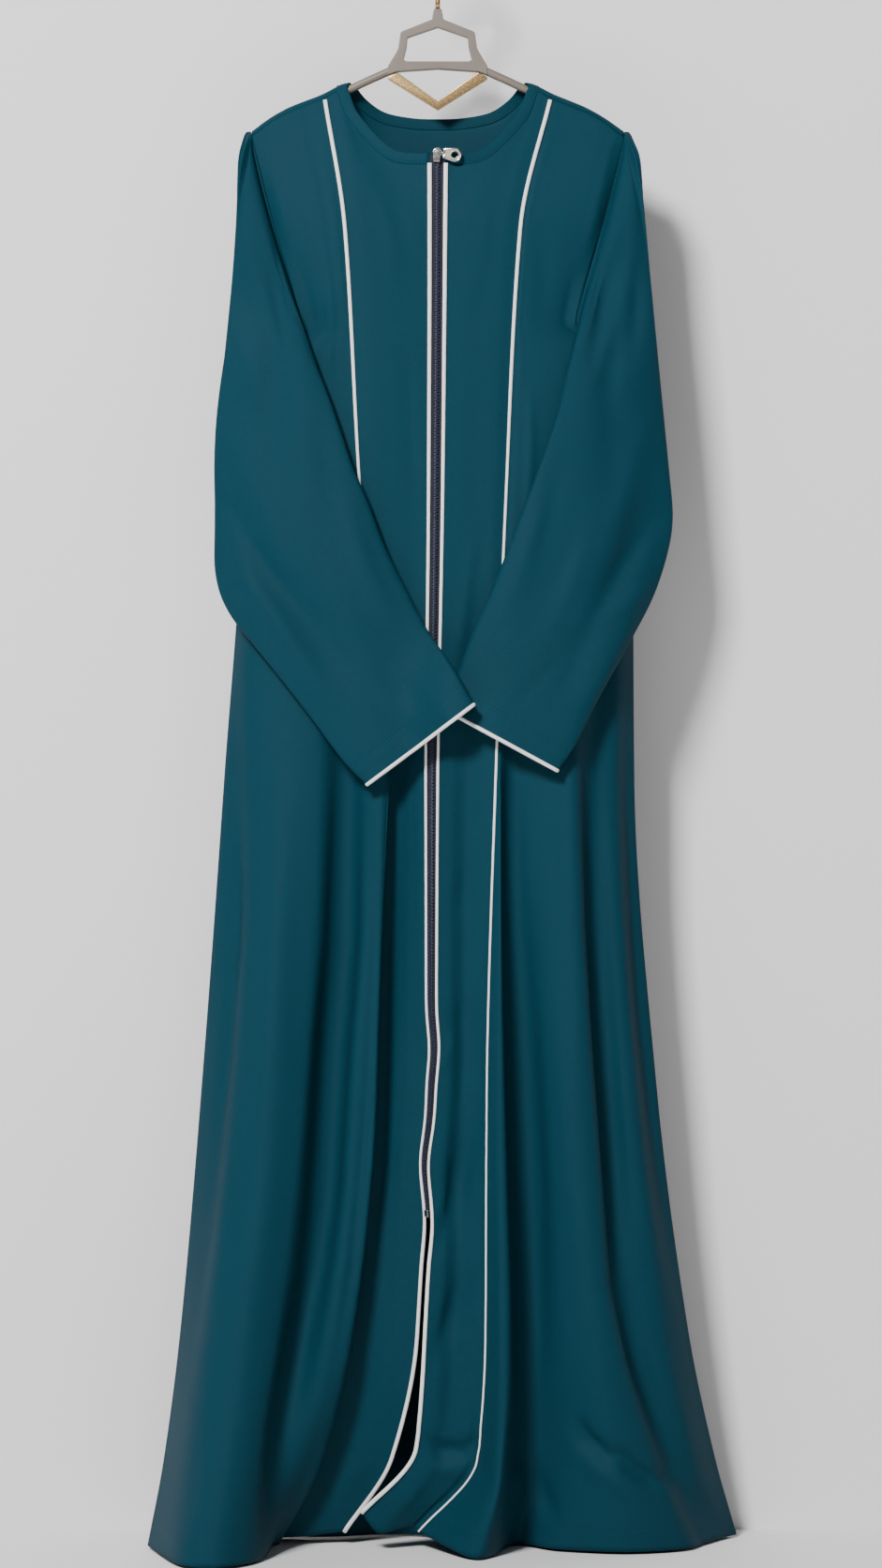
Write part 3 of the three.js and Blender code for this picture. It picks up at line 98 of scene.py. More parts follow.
def smooth_through(knots, values):
    """A smooth curve through a table's values that never overshoots them; the knots run downwards."""
    knots = np.array(knots, float)
    values = np.array(values, float)
    steps = np.diff(knots)
    slopes = np.diff(values) / steps
    tangents = np.empty_like(values)
    tangents[0], tangents[-1] = slopes[0], slopes[-1]
    before, after = slopes[:-1], slopes[1:]
    same_way = before * after > 0
    total = np.where(same_way, before + after, 1)
    tangents[1:-1] = np.where(same_way, 2 * before * after / total, 0)

    def curve(z):
        z = np.asarray(z, float)
        i = np.minimum(np.searchsorted(-knots[1:], -z, side="left"), len(steps) - 1)
        t = np.clip((z - knots[i]) / steps[i], 0, 1)
        rise = values[i + 1] - values[i]
        a = steps[i] * tangents[i]
        b = steps[i] * tangents[i + 1]
        return values[i] + t * (a + t * (3 * rise - 2 * a - b + t * (a + b - 2 * rise)))

    return curve


# The shoulder's ridge falls from the neck and faster past the hanger's arm
ridge_height = smooth_through([0, -88, -114, -159, -186, -200], [-150, -150, -161, -180, -199, -206])


def ridge_at(x):
    return ridge_height(-np.abs(x))


def over_arm(x, angle):
    """The cloth where it bends over the hanger's arm; the angle is 0 on top and grows to the front."""
    return xyz(x, -RIDGE_RADIUS * np.sin(angle), ridge_at(x) - RIDGE_RADIUS * (1 - np.cos(angle)))


# Seams and edges that run down the front: x at each height
SEAMS = {
    "side_left": [-165, -195, -214, -236, -258, -275, -291],
    "princess_left": [-92, -77, -51, -60, -90, -122, -164],
    "edge_left": [-8, -9, -11, -11, -20, -45, -94],
    "edge_right": [7.5, 5, 0, -2, -12.5, -21, -76],
    "princess_right": [82, 68, 57, 49, 48, 40, -19],
    "side_right": [165, 195, 197, 219, 252, 280, 304],
}

# Where the closed zip wanders sideways: height, how far, and its reach along the zip
ZIP_WANDER = [(-1114, 3, 28), (-1226, -5, 34), (-1290, 1.5, 26)]

# Lines down the left half of the front, from the side seam to the zip. A seam's row has its depth at each
# height; a fold's row has its share between the seams above the waist, then x and depth from the hip down to
# the hem. The last number is how far the line's hem end is raised.
LEFT_LINES = [
    ("side_left", [16, 6, 0, 0, -3, -6, -8], 0),
    (0.16, [(-196, 24), (-213, 40), (-233, 62), (-245, 80), (-255, 92)], 0),
    (0.34, [(-155, 40), (-168, 62), (-196, 88), (-211, 104), (-220, 112)], 0),
    (0.46, [(-119, 42), (-134, 58), (-160, 76), (-178, 88), (-188, 92)], 0),
    (0.6, [(-92, 33), (-110, 42), (-136, 48), (-156, 55), (-169, 60)], 0),
    (0.74, [(-62, 45), (-72, 58), (-101, 53), (-131, 28), (-163, 6)], 0),
    (0.87, [(-46, 42), (-53, 53), (-84, 44), (-116, 14), (-157, -6)], 1),
    ("princess_left", [28, 33, 27, 26, 16, -5, -20], 4),
    (0.2, [(-37, 26), (-42, 24), (-66, 12), (-98, -10), (-128, -26)], 6),
    (0.5, [(-27, 31), (-30, 28), (-46, 18), (-76, -6), (-114, -28)], 8),
    (0.75, [(-18, 37), (-19, 32), (-30, 22), (-56, -2), (-103, -29)], 9),
    ("edge_left", [30, 35, 41, 35, 25, 4, -28], 11),
]

# Lines down the right half of the front, from the zip to the side seam
RIGHT_LINES = [
    ("edge_right", [30, 35, 44, 45, 40, 26, 14], 37),
    (0.25, [(14, 43), (11, 44), (2, 40), (-8, 28), (-60, 10)], 16),
    (0.5, [(29, 40), (24, 37), (17, 34), (8, 27), (-40, 6)], 19),
    (0.8, [(45, 45), (38, 42), (35, 40), (27, 31), (-27, 3)], 21),
    ("princess_right", [28, 33, 49, 50, 46, 34, 4], 16),
    (0.07, [(62, 53), (62, 61), (63, 65), (57, 63), (30, 56)], 0),
    (0.14, [(68, 50), (74, 55), (78, 58), (68, 57), (54, 46)], 0),
    (0.24, [(79, 39), (88, 32), (94, 19), (90, 2), (80, -16)], 0),
    (0.38, [(106, 44), (114, 44), (127, 38), (137, 26), (121, 14)], 0),
    (0.54, [(131, 50), (141, 53), (156, 49), (178, 38), (188, 28)], 0),
    (0.64, [(148, 43), (161, 46), (184, 40), (215, 28), (247, 10)], 0),
    (0.76, [(160, 26), (174, 26), (199, 18), (233, 2), (268, -20)], 0),
    (0.9, [(179, 18), (198, 20), (228, 10), (259, -14), (290, -52)], 0),
    ("side_right", [16, 6, -4, -9, -24, -48, -70], 2),
]

# Cones of the back hem: share across the back and depth behind
BACK_CONES = [
    (0, 8), (0.06, 46), (0.17, 66), (0.29, 57), (0.42, 74), (0.55, 52), (0.68, 76), (0.81, 60), (0.93, 78),
    (1, 70),
]

# Columns of the back from its left edge to the middle: share of the width, start x, and angle over the arm
# there; the last four start on the neck seam behind
BACK_COLUMNS = [
    (0, 186, 1.25), (0.035, 168, 1.25), (0.08, 150, 1.25), (0.13, 132, 1.25), (0.18, 116, 1.25),
    (0.22, 101, 1.25), (0.235, 100, 0.6), (0.25, 98, 0), (0.265, 96, -0.6), (0.28, 93, -1.2),
    (0.33, 79, None), (0.38, 57, None), (0.44, 27, None), (0.5, 0, None),
]
NECK_BACK = {0: (27, -193), 27: (26.5, -192), 57: (24, -186), 79: (17, -172)}
CORNER_COLUMN = 5

# The armhole's edges: height, distance from the middle, depth
ARMHOLE_FRONT = np.array([
    (-204, 186, 6), (-240, 177, 11), (-287, 165, 16), (-334, 151, 20), (-370, 141, 23), (-394, 137, 24),
    (-404, 150, 21), (-413, 171, 13), (-422, 192, 0.5),
], float)
ARMHOLE_BACK = np.array([
    (-204, 186, 6), (-240, 183, 10), (-300, 179, 14), (-360, 178, 15), (-394, 181, 13), (-410, 186, 8),
    (-422, 192, 0.5),
], float)
armhole_front_x = smooth_through(ARMHOLE_FRONT[:, 0], ARMHOLE_FRONT[:, 1])
armhole_back_x = smooth_through(ARMHOLE_BACK[:, 0], ARMHOLE_BACK[:, 1])

# The neck seam in front: distance from the middle, depth, height
NECK_FRONT = [
    (101, 6.8, -160.5), (94, 10, -175), (87, 13, -190), (72, 17, -210), (49, 21, -229), (26, 23.5, -234),
    (8, 24, -234.5),
]


def wander_at(z):
    return sum(by * np.exp(-(((z - at) / reach) ** 2)) for at, by, reach in ZIP_WANDER)


def make_line(top, x, y, lift, extra=lambda z: 0 * z):
    """A line down the cloth: its top point, then smooth curves for x and y; lift raises its hem end."""
    kept = [z for z in HEIGHTS if z < top[2] - 20]
    skipped = len(HEIGHTS) - len(kept)
    x_at = smooth_through([top[2], *kept], [top[0] - extra(top[2]), *x[skipped:]])
    y_at = smooth_through([top[2], *kept], [top[1], *y[skipped:]])

    def line(share):
        under = mix(top[2], HEM, share)
        z = under + lift * share ** 10
        return xyz(x_at(under) + extra(z), y_at(under), z)

    return line


# The body's half width, and how far it stands out at its middle and its side
CHEST = 170, 31, 16
WAIST = 196, 36, 6


def depth_across(x, half_width, centre, edge):
    side = min(abs(x) / half_width, 1)
    return mix(edge, centre, (1 - side ** 2.4) ** (1 / 2.4))


def with_armhole(side_line, table, side, sign):
    """The armhole's edge takes the place of a side line above the underarm."""
    x_at = smooth_through(table[:, 0], table[:, 1])
    out_at = smooth_through(table[:, 0], table[:, 2])

    def line(share):
        p = side_line(share)
        z = p[..., 2]
        arm = xyz(side * x_at(z), sign * out_at(z), z)
        return np.where((z > UNDERARM_Z)[..., None], arm, p)

    return line


def side_below_arm(side, name, outs):
    top = over_arm(side * SHOULDER_X, FRONT_SEAM_ANGLE)
    xs = [side * UNDERARM_X, *SEAMS[name][1:]]
    return make_line(top, xs, [0, 0] + [-d for d in outs[2:]], 0)


left_side = side_below_arm(-1, "side_left", LEFT_LINES[0][1])
right_side = side_below_arm(1, "side_right", RIGHT_LINES[-1][1])


def side_shift(side, name, side_line):
    """How far the armhole and the underarm draw the side edge away from the plain line of the seams table."""
    plain = smooth_through(HEIGHTS, SEAMS[name])
    top = float(side_line(np.array(0.0))[2])

    def shift(z):
        z = np.asarray(z, float)
        below = side_line((z - top) / (HEM - top))[..., 0]
        return np.where(z > UNDERARM_Z, side * armhole_front_x(z), below) - plain(z)

    return shift


left_shift = side_shift(-1, "side_left", left_side)
right_shift = side_shift(1, "side_right", right_side)


def front_lines(table, tops):
    """Turns the rows of a fold table into lines; tops gives each line's top point."""
    lines = []
    start = None
    for i, row in enumerate(table):
        if isinstance(row[0], str):
            start = row[0]
            extra = wander_at if start.startswith("edge") else (lambda z: 0 * z)
            lines.append(make_line(tops[i], SEAMS[start], [-d for d in row[1]], row[2], extra))
            continue
        share, places, lift = row
        end = next(later[0] for later in table[i:] if isinstance(later[0], str))
        xs = [mix(SEAMS[start][k], SEAMS[end][k], share) for k in (0, 1)]
        outs = [depth_across(xs[0], *CHEST), depth_across(xs[1], *WAIST)]
        xs += [x for x, _ in places]
        outs += [out for _, out in places]
        follows = {
            "side_left": lambda z, s=share: left_shift(z) * (1 - s),
            "princess_left": lambda z, s=share: wander_at(z) * s,
            "edge_right": lambda z, s=share: wander_at(z) * (1 - s),
            "princess_right": lambda z, s=share: right_shift(z) * s,
        }
        lines.append(make_line(tops[i], xs, [-d for d in outs], lift, follows[start]))
    return lines


def shoulder_tops(count, side):
    xs = [side * mix(SHOULDER_X, PRINCESS_TOP_X, i / (count - 1)) for i in range(count)]
    return [over_arm(x, FRONT_SEAM_ANGLE) for x in xs]


def neck_top(i, side):
    if i == 0:
        return over_arm(side * NECK_CORNER_X, FRONT_SEAM_ANGLE)
    x, out, z = NECK_FRONT[i]
    return np.array([side * x, -out, z], float)


left_tops = shoulder_tops(8, -1) + [neck_top(i, -1) for i in (0, 2, 4, 6)]
right_tops = [neck_top(i, 1) for i in (6, 4, 2, 0)] + shoulder_tops(10, 1)[::-1]
left_lines = front_lines(LEFT_LINES, left_tops)
right_lines = front_lines(RIGHT_LINES, right_tops)
left_lines[0] = with_armhole(left_side, ARMHOLE_FRONT, -1, -1)
right_lines[-1] = with_armhole(right_side, ARMHOLE_FRONT, 1, -1)


def across(stack, per_line):
    """A smooth grid through a stack of lines (lines, rows, 3), with per_line steps between neighbours."""
    count = len(stack)
    u = np.linspace(0, count - 1, (count - 1) * per_line + 1)
    i = np.minimum(u.astype(int), count - 2)
    t = (u - i)[:, None, None]
    a, b, c, d = (stack[np.clip(i + k, 0, count - 1)] for k in (-1, 0, 1, 2))
    grid = b + 0.5 * t * (c - a + t * (2 * a - 5 * b + 4 * c - d + t * (3 * (b - c) + d - a)))
    return grid.transpose(1, 0, 2)


FRONT_STEPS = 12
BACK_STEPS = 5
left = across(np.stack([line(SHARES) for line in left_lines]), FRONT_STEPS)
right = across(np.stack([line(SHARES) for line in right_lines]), FRONT_STEPS)
PRINCESS_LEFT = 7 * FRONT_STEPS
CORNER_LEFT = 8 * FRONT_STEPS
CORNER_RIGHT = 3 * FRONT_STEPS
PRINCESS_RIGHT = 4 * FRONT_STEPS


def keep_to_shoulder(grid, columns):
    """Between the princess seam and the neck corner the top edge keeps to the shoulder seam."""
    x = np.linspace(grid[0, columns[0], 0], grid[0, columns[-1], 0], len(columns))
    wanted = over_arm(x, FRONT_SEAM_ANGLE)
    shift = wanted - grid[0, columns]
    fade = np.clip(1 - SHARES / 0.03, 0, 1)[:, None, None] ** 2
    grid[:, columns] += shift[None] * fade


keep_to_shoulder(left, np.arange(PRINCESS_LEFT, CORNER_LEFT + 1))
keep_to_shoulder(right, np.arange(CORNER_RIGHT, PRINCESS_RIGHT + 1))

# Back: how far it stands out behind at the chest and the waist, and its hem's cones
BACK_CHEST, BACK_WAIST = 24, 30
back_hem = smooth_through([-share for share, _ in BACK_CONES], [out for _, out in BACK_CONES])


def back_fall(top, share, rows):
    width = left_side(rows), right_side(rows)
    z = mix(top[2], HEM, rows)
    reach = smooth_through([top[2], LEVELS["chest"], LEVELS["waist"], HEM], [0, 0.7, 1, 1])(z)
    side = -1 if share < 0.5 else 1
    side_share = max(1 - min(share, 1 - share) / 0.3, 0)
    edge = width[0] if share < 0.5 else width[1]
    scoop = np.where(z > UNDERARM_Z, side * armhole_back_x(z) - edge[:, 0], 0)
    x = mix(top[0], mix(width[0][:, 0], width[1][:, 0], share), reach) + scoop * side_share
    body = math.sin(math.pi * min(max(share, 0), 1)) ** 0.5
    hem_out = float(back_hem(-share))
    waist_out = BACK_WAIST * body
    outs = [top[1], BACK_CHEST * body, waist_out, mix(waist_out, hem_out, 0.22), hem_out]
    heights = [top[2], LEVELS["chest"], LEVELS["waist"], LEVELS["hip"], HEM]
    return xyz(x, smooth_through(heights, outs)(z), z)


def back_column(share, x, angle, side, rows):
    """One column of the back: over the arm it bends round it first, then it falls."""
    bends = angle is not None
    if bends:
        start = over_arm(side * x, BACK_BEND_ANGLE)
        used = BEND_SHARES[-1]
    else:
        out, z = NECK_BACK[x]
        start = np.array([side * x, out, z], float)
        used = 0
    left_over = (rows - used) / (1 - used)
    p = back_fall(start, share if side < 0 else 1 - share, np.maximum(rows, 0))
    y = mix(start[1], p[:, 1], np.clip(left_over / 0.05, 0, 1))
    fallen = xyz(p[:, 0], y, mix(start[2], HEM, left_over))
    if not bends:
        return fallen
    turn = np.interp(rows, BEND_SHARES, [0, 1 / 3, 2 / 3, 1])
    bent = over_arm(np.full_like(rows, side * x), mix(angle, BACK_BEND_ANGLE, turn))
    return np.where((rows <= used)[:, None], bent, fallen)


def back_lines(rows):
    halves = [back_column(s, x, a, -1, rows) for s, x, a in BACK_COLUMNS]
    halves += [back_column(s, x, a, 1, rows) for s, x, a in BACK_COLUMNS[-2::-1]]
    stack = np.stack(halves)
    for column, side, line in ((0, -1, left_side), (-1, 1, right_side)):
        edge = with_armhole(line, ARMHOLE_BACK, side, 1)(rows)
        stack[column] = np.where((rows > BEND_SHARES[-1])[:, None], edge, stack[column])
    return stack


back = across(back_lines(SHARES), BACK_STEPS)
back[:, 0] = np.where((SHARES >= ARMHOLE_SHARE)[:, None], left[:, 0], back[:, 0])
back[:, -1] = np.where((SHARES >= ARMHOLE_SHARE)[:, None], right[:, -1], back[:, -1])


def normals_of(grid, outward, closed=False):
    """Unit normals of a grid's points, facing away from the body."""
    if closed:
        side = np.roll(grid, -1, axis=1) - np.roll(grid, 1, axis=1)
    else:
        padded = np.pad(grid, ((0, 0), (1, 1), (0, 0)), mode="edge")
        side = padded[:, 2:] - padded[:, :-2]
    padded = np.pad(grid, ((1, 1), (0, 0), (0, 0)), mode="edge")
    down = padded[2:] - padded[:-2]
    return unit(np.cross(side, down)) * outward


# Creases: points along each one as (x, z), its width, and how far it stands out; a negative one is a
# trough
BODY_CREASES = [
    ([(-107, -345), (-108, -400), (-106, -470)], 5, 1.6),
    ([(104, -290), (106, -340), (104, -400)], 10, -1.2),
    ([(91, -455), (92, -520), (88, -600)], 6, 1.8),
    ([(38, -590), (30, -650), (21, -730)], 7, 1.7),
    ([(-60, -262), (-48, -300), (-40, -360)], 9, 1),
    ([(52, -262), (44, -310), (34, -380)], 9, 1.1),
    ([(-30, -420), (-27, -500), (-22, -590)], 8, -1),
    ([(-70, -560), (-58, -620), (-40, -680)], 8, -1.2),
    ([(60, -640), (40, -690), (26, -740)], 8, -1.3),
    ([(-201, -905), (-204, -980), (-208, -1060)], 9, -3),
    ([(21, -1090), (12, -1112), (2, -1136)], 6, 1.8),
    ([(30, -1066), (22, -1090), (8, -1120)], 9, -1.6),
    ([(14, -1236), (6, -1262), (-5, -1294)], 6, 1.8),
    ([(26, -1215), (16, -1240), (2, -1270)], 9, -1.6),
    ([(36, -930), (26, -960), (10, -985)], 10, -1.3),
    ([(40, -1340), (28, -1372), (8, -1400)], 10, -1.5),
    ([(-14, -1498), (4, -1512), (24, -1514), (42, -1500)], 8, -7),
    ([(-10, -1528), (6, -1534), (26, -1532)], 7, 2.5),
    ([(138, -1478), (146, -1500), (166, -1516), (186, -1520)], 8, -8),
    ([(176, -1508), (192, -1528), (214, -1542), (238, -1544)], 9, -9),
    ([(140, -1516), (160, -1534), (184, -1546), (210, -1560)], 9, 3),
    ([(82, -1530), (83, -1556), (80, -1580)], 8, 4),
    ([(96, -1530), (104, -1560), (118, -1590)], 9, -4),
    ([(-150, -880), (-158, -1000), (-166, -1150)], 12, 1.5),
    ([(-176, -1180), (-190, -1290), (-208, -1400)], 14, -2),
    ([(-120, -1250), (-132, -1340), (-150, -1430)], 10, 1.6),
    ([(118, -900), (124, -1000), (130, -1130)], 9, -1.2),
    ([(168, -980), (182, -1120), (196, -1240)], 11, 1.6),
    ([(206, -1290), (224, -1390), (246, -1480)], 12, -2.2),
    ([(-230, -1480), (-240, -1540), (-246, -1600)], 10, -2.5),
    ([(-88, -760), (-90, -845), (-94, -1003), (-104, -1115), (-112, -1254), (-121, -1328), (-138, -1421),
      (-150, -1486), (-166, -1614)], 13, -22),
    ([(-66, -840), (-64, -1003), (-72, -1180), (-84, -1330), (-104, -1450)], 9, -7),
    ([(68, -760), (72, -855), (76, -1003), (82, -1226), (86, -1356), (84, -1468), (76, -1560)], 11, -13),
    ([(84, -980), (92, -1130), (98, -1260), (100, -1400), (94, -1500)], 10, -7),
    ([(146, -740), (151, -836), (157, -985), (166, -1115), (174, -1217), (182, -1347), (198, -1421),
      (216, -1477), (232, -1530)], 10, -15),
    ([(-42, -800), (-44, -855), (-47, -1003), (-55, -1226), (-67, -1328)], 9, -9),
    ([(-152, -820), (-158, -930), (-166, -1100), (-180, -1260), (-204, -1420)], 20, 7),
    ([(-198, -760), (-202, -880), (-206, -1000), (-214, -1120), (-232, -1300), (-246, -1440)], 11, -10),
    ([(190, -780), (198, -940), (206, -1080), (224, -1240), (240, -1360)], 10, -6),
    ([(110, -900), (122, -1080), (134, -1240), (148, -1380)], 18, 5),
    ([(36, -1180), (20, -1250), (-4, -1330)], 11, -5),
    ([(30, -1330), (8, -1390), (-6, -1440)], 10, -4),
]

# Creases of the sleeves' outer faces
SLEEVE_CREASES = [
    ([(-150, -300), (-158, -400), (-166, -500), (-158, -580)], 20, -6),
    ([(-196, -560), (-170, -640), (-120, -700), (-80, -750)], 15, -5),
    ([(-176, -660), (-140, -720), (-100, -780)], 12, 4),
    ([(-100, -560), (-72, -640), (-36, -700)], 13, 3),
    ([(-214, -420), (-216, -500), (-214, -580)], 14, 4),
    ([(160, -300), (168, -400), (178, -500), (172, -580)], 20, -6),
    ([(206, -560), (180, -640), (140, -720), (120, -780)], 15, -5),
    ([(214, -630), (184, -700), (150, -770)], 11, 4),
    ([(110, -560), (84, -640), (56, -700)], 13, 3),
    ([(-196, -250), (-190, -330), (-186, -420)], 9, 1.5),
    ([(-168, -300), (-158, -380), (-146, -450)], 10, -2),
    ([(-205, -470), (-186, -560), (-160, -640)], 12, 2),
    ([(-212, -560), (-190, -610), (-150, -660)], 9, -2.2),
    ([(-214, -640), (-190, -650), (-150, -690)], 8, 1.6),
    ([(-120, -480), (-106, -560), (-84, -620)], 10, -1.6),
    ([(-150, -560), (-120, -640), (-76, -700)], 9, 1.3),
    ([(-110, -700), (-80, -740), (-50, -770)], 8, -1),
    ([(198, -250), (192, -330), (186, -420)], 9, 1.5),
    ([(170, -310), (160, -390), (148, -460)], 10, -2),
    ([(210, -470), (190, -560), (164, -640)], 12, 2),
    ([(224, -570), (196, -620), (156, -680)], 9, -2.2),
    ([(218, -650), (190, -670), (150, -700)], 8, 1.6),
    ([(124, -520), (110, -590), (90, -650)], 10, -1.6),
    ([(150, -600), (130, -660), (100, -720)], 9, 1.3),
    ([(140, -700), (110, -740), (80, -770)], 8, -1.1),
]

# Creases of the back, which isn't shown: the same kind of soft streaks
BACK_CREASES = [
    ([(-90, -300), (-100, -380), (-104, -470)], 10, 1.6),
    ([(84, -290), (98, -380), (106, -480)], 10, 1.6),
    ([(-40, -260), (-52, -330), (-56, -420)], 9, -1.4),
    ([(30, -260), (44, -340), (50, -430)], 9, -1.3),
    ([(-120, -620), (-130, -760), (-138, -900)], 12, -2.4),
    ([(-10, -560), (-16, -700), (-18, -840)], 12, 1.8),
    ([(110, -600), (120, -740), (130, -880)], 12, -2.2),
    ([(-60, -900), (-66, -1060), (-78, -1220)], 12, 2.2),
    ([(60, -940), (68, -1090), (78, -1250)], 12, 2.2),
    ([(-190, -1100), (-204, -1240), (-226, -1400)], 12, -3),
    ([(180, -1080), (204, -1240), (232, -1400)], 12, -3),
]


def crease_height(grid, creases):
    """How far the creases stand out at each point of a grid, faded towards both ends of each crease."""
    x, z = grid[..., 0], grid[..., 2]
    height = np.zeros_like(x)
    for places, width, depth in creases:
        places = np.array(places, float)
        runs = np.linalg.norm(np.diff(places, axis=0), axis=1)
        total = runs.sum()
        near = np.full_like(x, 1e9)
        along = np.zeros_like(x)
        done = 0.0
        for (x0, z0), (x1, z1), run in zip(places[:-1], places[1:], runs):
            t = ((x - x0) * (x1 - x0) + (z - z0) * (z1 - z0)) / run ** 2
            kept = np.clip(t, 0, 1)
            away = np.hypot(x - mix(x0, x1, kept), z - mix(z0, z1, kept))
            closer = away < near
            near = np.where(closer, away, near)
            along = np.where(closer, done + kept * run, along)
            done += run
        fade = np.sin(np.pi * np.clip(along / total, 0.02, 0.98)) ** 0.8
        height += depth * fade * np.exp(-((near / width) ** 2))
    return height


def ripple(grid, amount, seed):
    """A faint unevenness, as hung cloth has: a few slow waves that lean across each other."""
    x, z = grid[..., 0], grid[..., 2]
    shifts = np.random.default_rng(seed).uniform(0, 2 * np.pi, 4)
    waves = np.sin(x / 23 + z / 190 + shifts[0]) + 0.7 * np.sin(x / 37 - z / 120 + shifts[1])
    waves += 0.5 * np.sin(x / 11 + z / 260 + shifts[2]) + 0.4 * np.sin(z / 55 + x / 60 + shifts[3])
    return amount * waves


def pucker(grid, columns, amount):
    """Small tucks beside each seam, strongest at the seam itself."""
    z = grid[..., 2]
    rows = np.zeros_like(z)
    for column in columns:
        away = np.abs(grid[..., 0] - grid[:, column:column + 1, 0])
        wave = np.sin(z / 4.3 + 1.9 * np.sin(z / 31)) * (0.6 + 0.4 * np.sin(z / 57 + column))
        rows += amount * wave * np.exp(-((away - 5) / 6) ** 2)
    return rows


# 0 on the top row, where the cloth is sewn to its neighbours, growing to 1 below
TOP_FADE = np.clip(SHARES / 0.02, 0, 1)[:, None]
PUCKER = 0.22


def creased(grid, facing, creases, uneven, seed, seams, sides, reach):
    """A grid with its creases, unevenness and seam tucks, which die out towards its sides and its top."""
    height = crease_height(grid, creases) + ripple(grid, uneven, seed) + pucker(grid, seams, PUCKER)
    for column in sides:
        gap = np.linalg.norm(grid - grid[:, column][:, None], axis=-1)
        height *= np.clip(gap / reach, 0, 1)
    return grid + normals_of(grid, facing) * (height * TOP_FADE)[..., None]


left_last = left.shape[1] - 1
right_last = right.shape[1] - 1
left = creased(left, -1, BODY_CREASES, 0.35, 3, (PRINCESS_LEFT, left_last), (0,), 12)
right = creased(right, -1, BODY_CREASES, 0.35, 3, (0, PRINCESS_RIGHT), (-1,), 12)
back = creased(back, 1, BACK_CREASES, 0.6, 5, (), (0, -1), 14)


# Meshes
def placed(name, data):
    """A new object that holds a mesh, a lamp or a camera."""
    built = bpy.data.objects.new(name, data)
    bpy.context.scene.collection.objects.link(built)
    return built


def mesh_object(name, points, faces, uvs=None):
    """A mesh from points in millimetres; uvs gives each point's place on the flat cloth in millimetres."""
    mesh = bpy.data.meshes.new(name)
    mesh.from_pydata([tuple(p) for p in np.asarray(points) * MM], [], [tuple(f) for f in faces])
    if uvs is not None:
        layer = mesh.uv_layers.new(name="cloth")
        corner = np.zeros(len(mesh.loops), dtype=np.int32)
        mesh.loops.foreach_get("vertex_index", corner)
        layer.data.foreach_set("uv", np.asarray(uvs)[corner].astype(np.float32).ravel())
    mesh.validate()
    mesh.update()
    mesh.shade_smooth()
    return placed(name, mesh)


def outward(built):
    """Turns all faces of a closed piece outwards."""
    bm = bmesh.new()
    bm.from_mesh(built.data)
    bmesh.ops.recalc_face_normals(bm, faces=bm.faces)
    bm.to_mesh(built.data)
    bm.free()
    return built


def flat_places(grid):
    """Where each point of a grid lies on the flat cloth: across from the first column, up from the hem."""
    side = np.linalg.norm(np.diff(grid, axis=1), axis=-1)
    u = np.concatenate([np.zeros((len(grid), 1)), np.cumsum(side, axis=1)], axis=1)
    down = np.linalg.norm(np.diff(grid, axis=0), axis=-1)
    v = np.concatenate([np.cumsum(down[::-1], axis=0)[::-1], np.zeros((1, grid.shape[1]))], axis=0)
    return np.stack([u, v], axis=-1)


def shell(name, outer, inner, closed=False):
    """A closed wall between an outer grid and an inner one, with rounded-looking edges where it is cut."""
    rows, cols = outer.shape[:2]
    points = np.concatenate([outer.reshape(-1, 3), inner.reshape(-1, 3)])
    ids = np.arange(rows * cols).reshape(rows, cols)
    step = np.roll(ids, -1, axis=1) if closed else ids[:, 1:]
    here = ids if closed else ids[:, :-1]
    a, b, c, d = here[:-1], step[:-1], step[1:], here[1:]
    front = np.stack([a, b, c, d], axis=-1).reshape(-1, 4)
    rear = np.stack([a, d, c, b], axis=-1).reshape(-1, 4) + rows * cols
    far = rows * cols
    faces = [front, rear]
    for row, flip in ((0, False), (rows - 1, True)):
        one, two = here[row], step[row]
        strip = np.stack([two, one, one + far, two + far], axis=-1)
        faces.append(strip[:, ::-1] if flip else strip)
    if not closed:
        for column, flip in ((0, False), (cols - 1, True)):
            one, two = ids[:-1, column], ids[1:, column]
            strip = np.stack([one, two, two + far, one + far], axis=-1)
            faces.append(strip[:, ::-1] if flip else strip)
    uv = flat_places(outer).reshape(-1, 2)
    return outward(mesh_object(name, points, np.concatenate(faces), np.concatenate([uv, uv])))


def tube(name, rings, closed=False, capped=True):
    """A tube through rings of points; its flat places run round it and along it."""
    rings = np.asarray(rings)
    count, around = rings.shape[:2]
    ids = np.arange(count * around).reshape(count, around)
    turn = np.roll(ids, -1, axis=1)
    rows = np.roll(ids, -1, axis=0) if closed else ids[1:]
    turned = np.roll(turn, -1, axis=0) if closed else turn[1:]
    here, beside = (ids, turn) if closed else (ids[:-1], turn[:-1])
    faces = [tuple(f) for f in np.stack([here, beside, turned, rows], axis=-1).reshape(-1, 4)]
    if capped and not closed:
        faces += [tuple(ids[0][::-1]), tuple(ids[-1])]
    middle = rings.mean(axis=1)
    along = np.concatenate([[0], np.cumsum(np.linalg.norm(np.diff(middle, axis=0), axis=1))])
    uv = np.zeros((count, around, 2))
    uv[..., 0] = np.arange(around) / around
    uv[..., 1] = along[:, None]
    return outward(mesh_object(name, rings.reshape(-1, 3), faces, uv.reshape(-1, 2)))


def panel(name, grid, normals, first, last):
    outer = grid[:, first:last + 1].copy()
    facing = normals[:, first:last + 1]
    for column, beside in ((0, 1), (-1, -2)):
        outer[:, column] += unit(outer[:, beside] - outer[:, column]) * SEAM_GAP / 2
    return shell(name, outer, outer - facing * CLOTH)


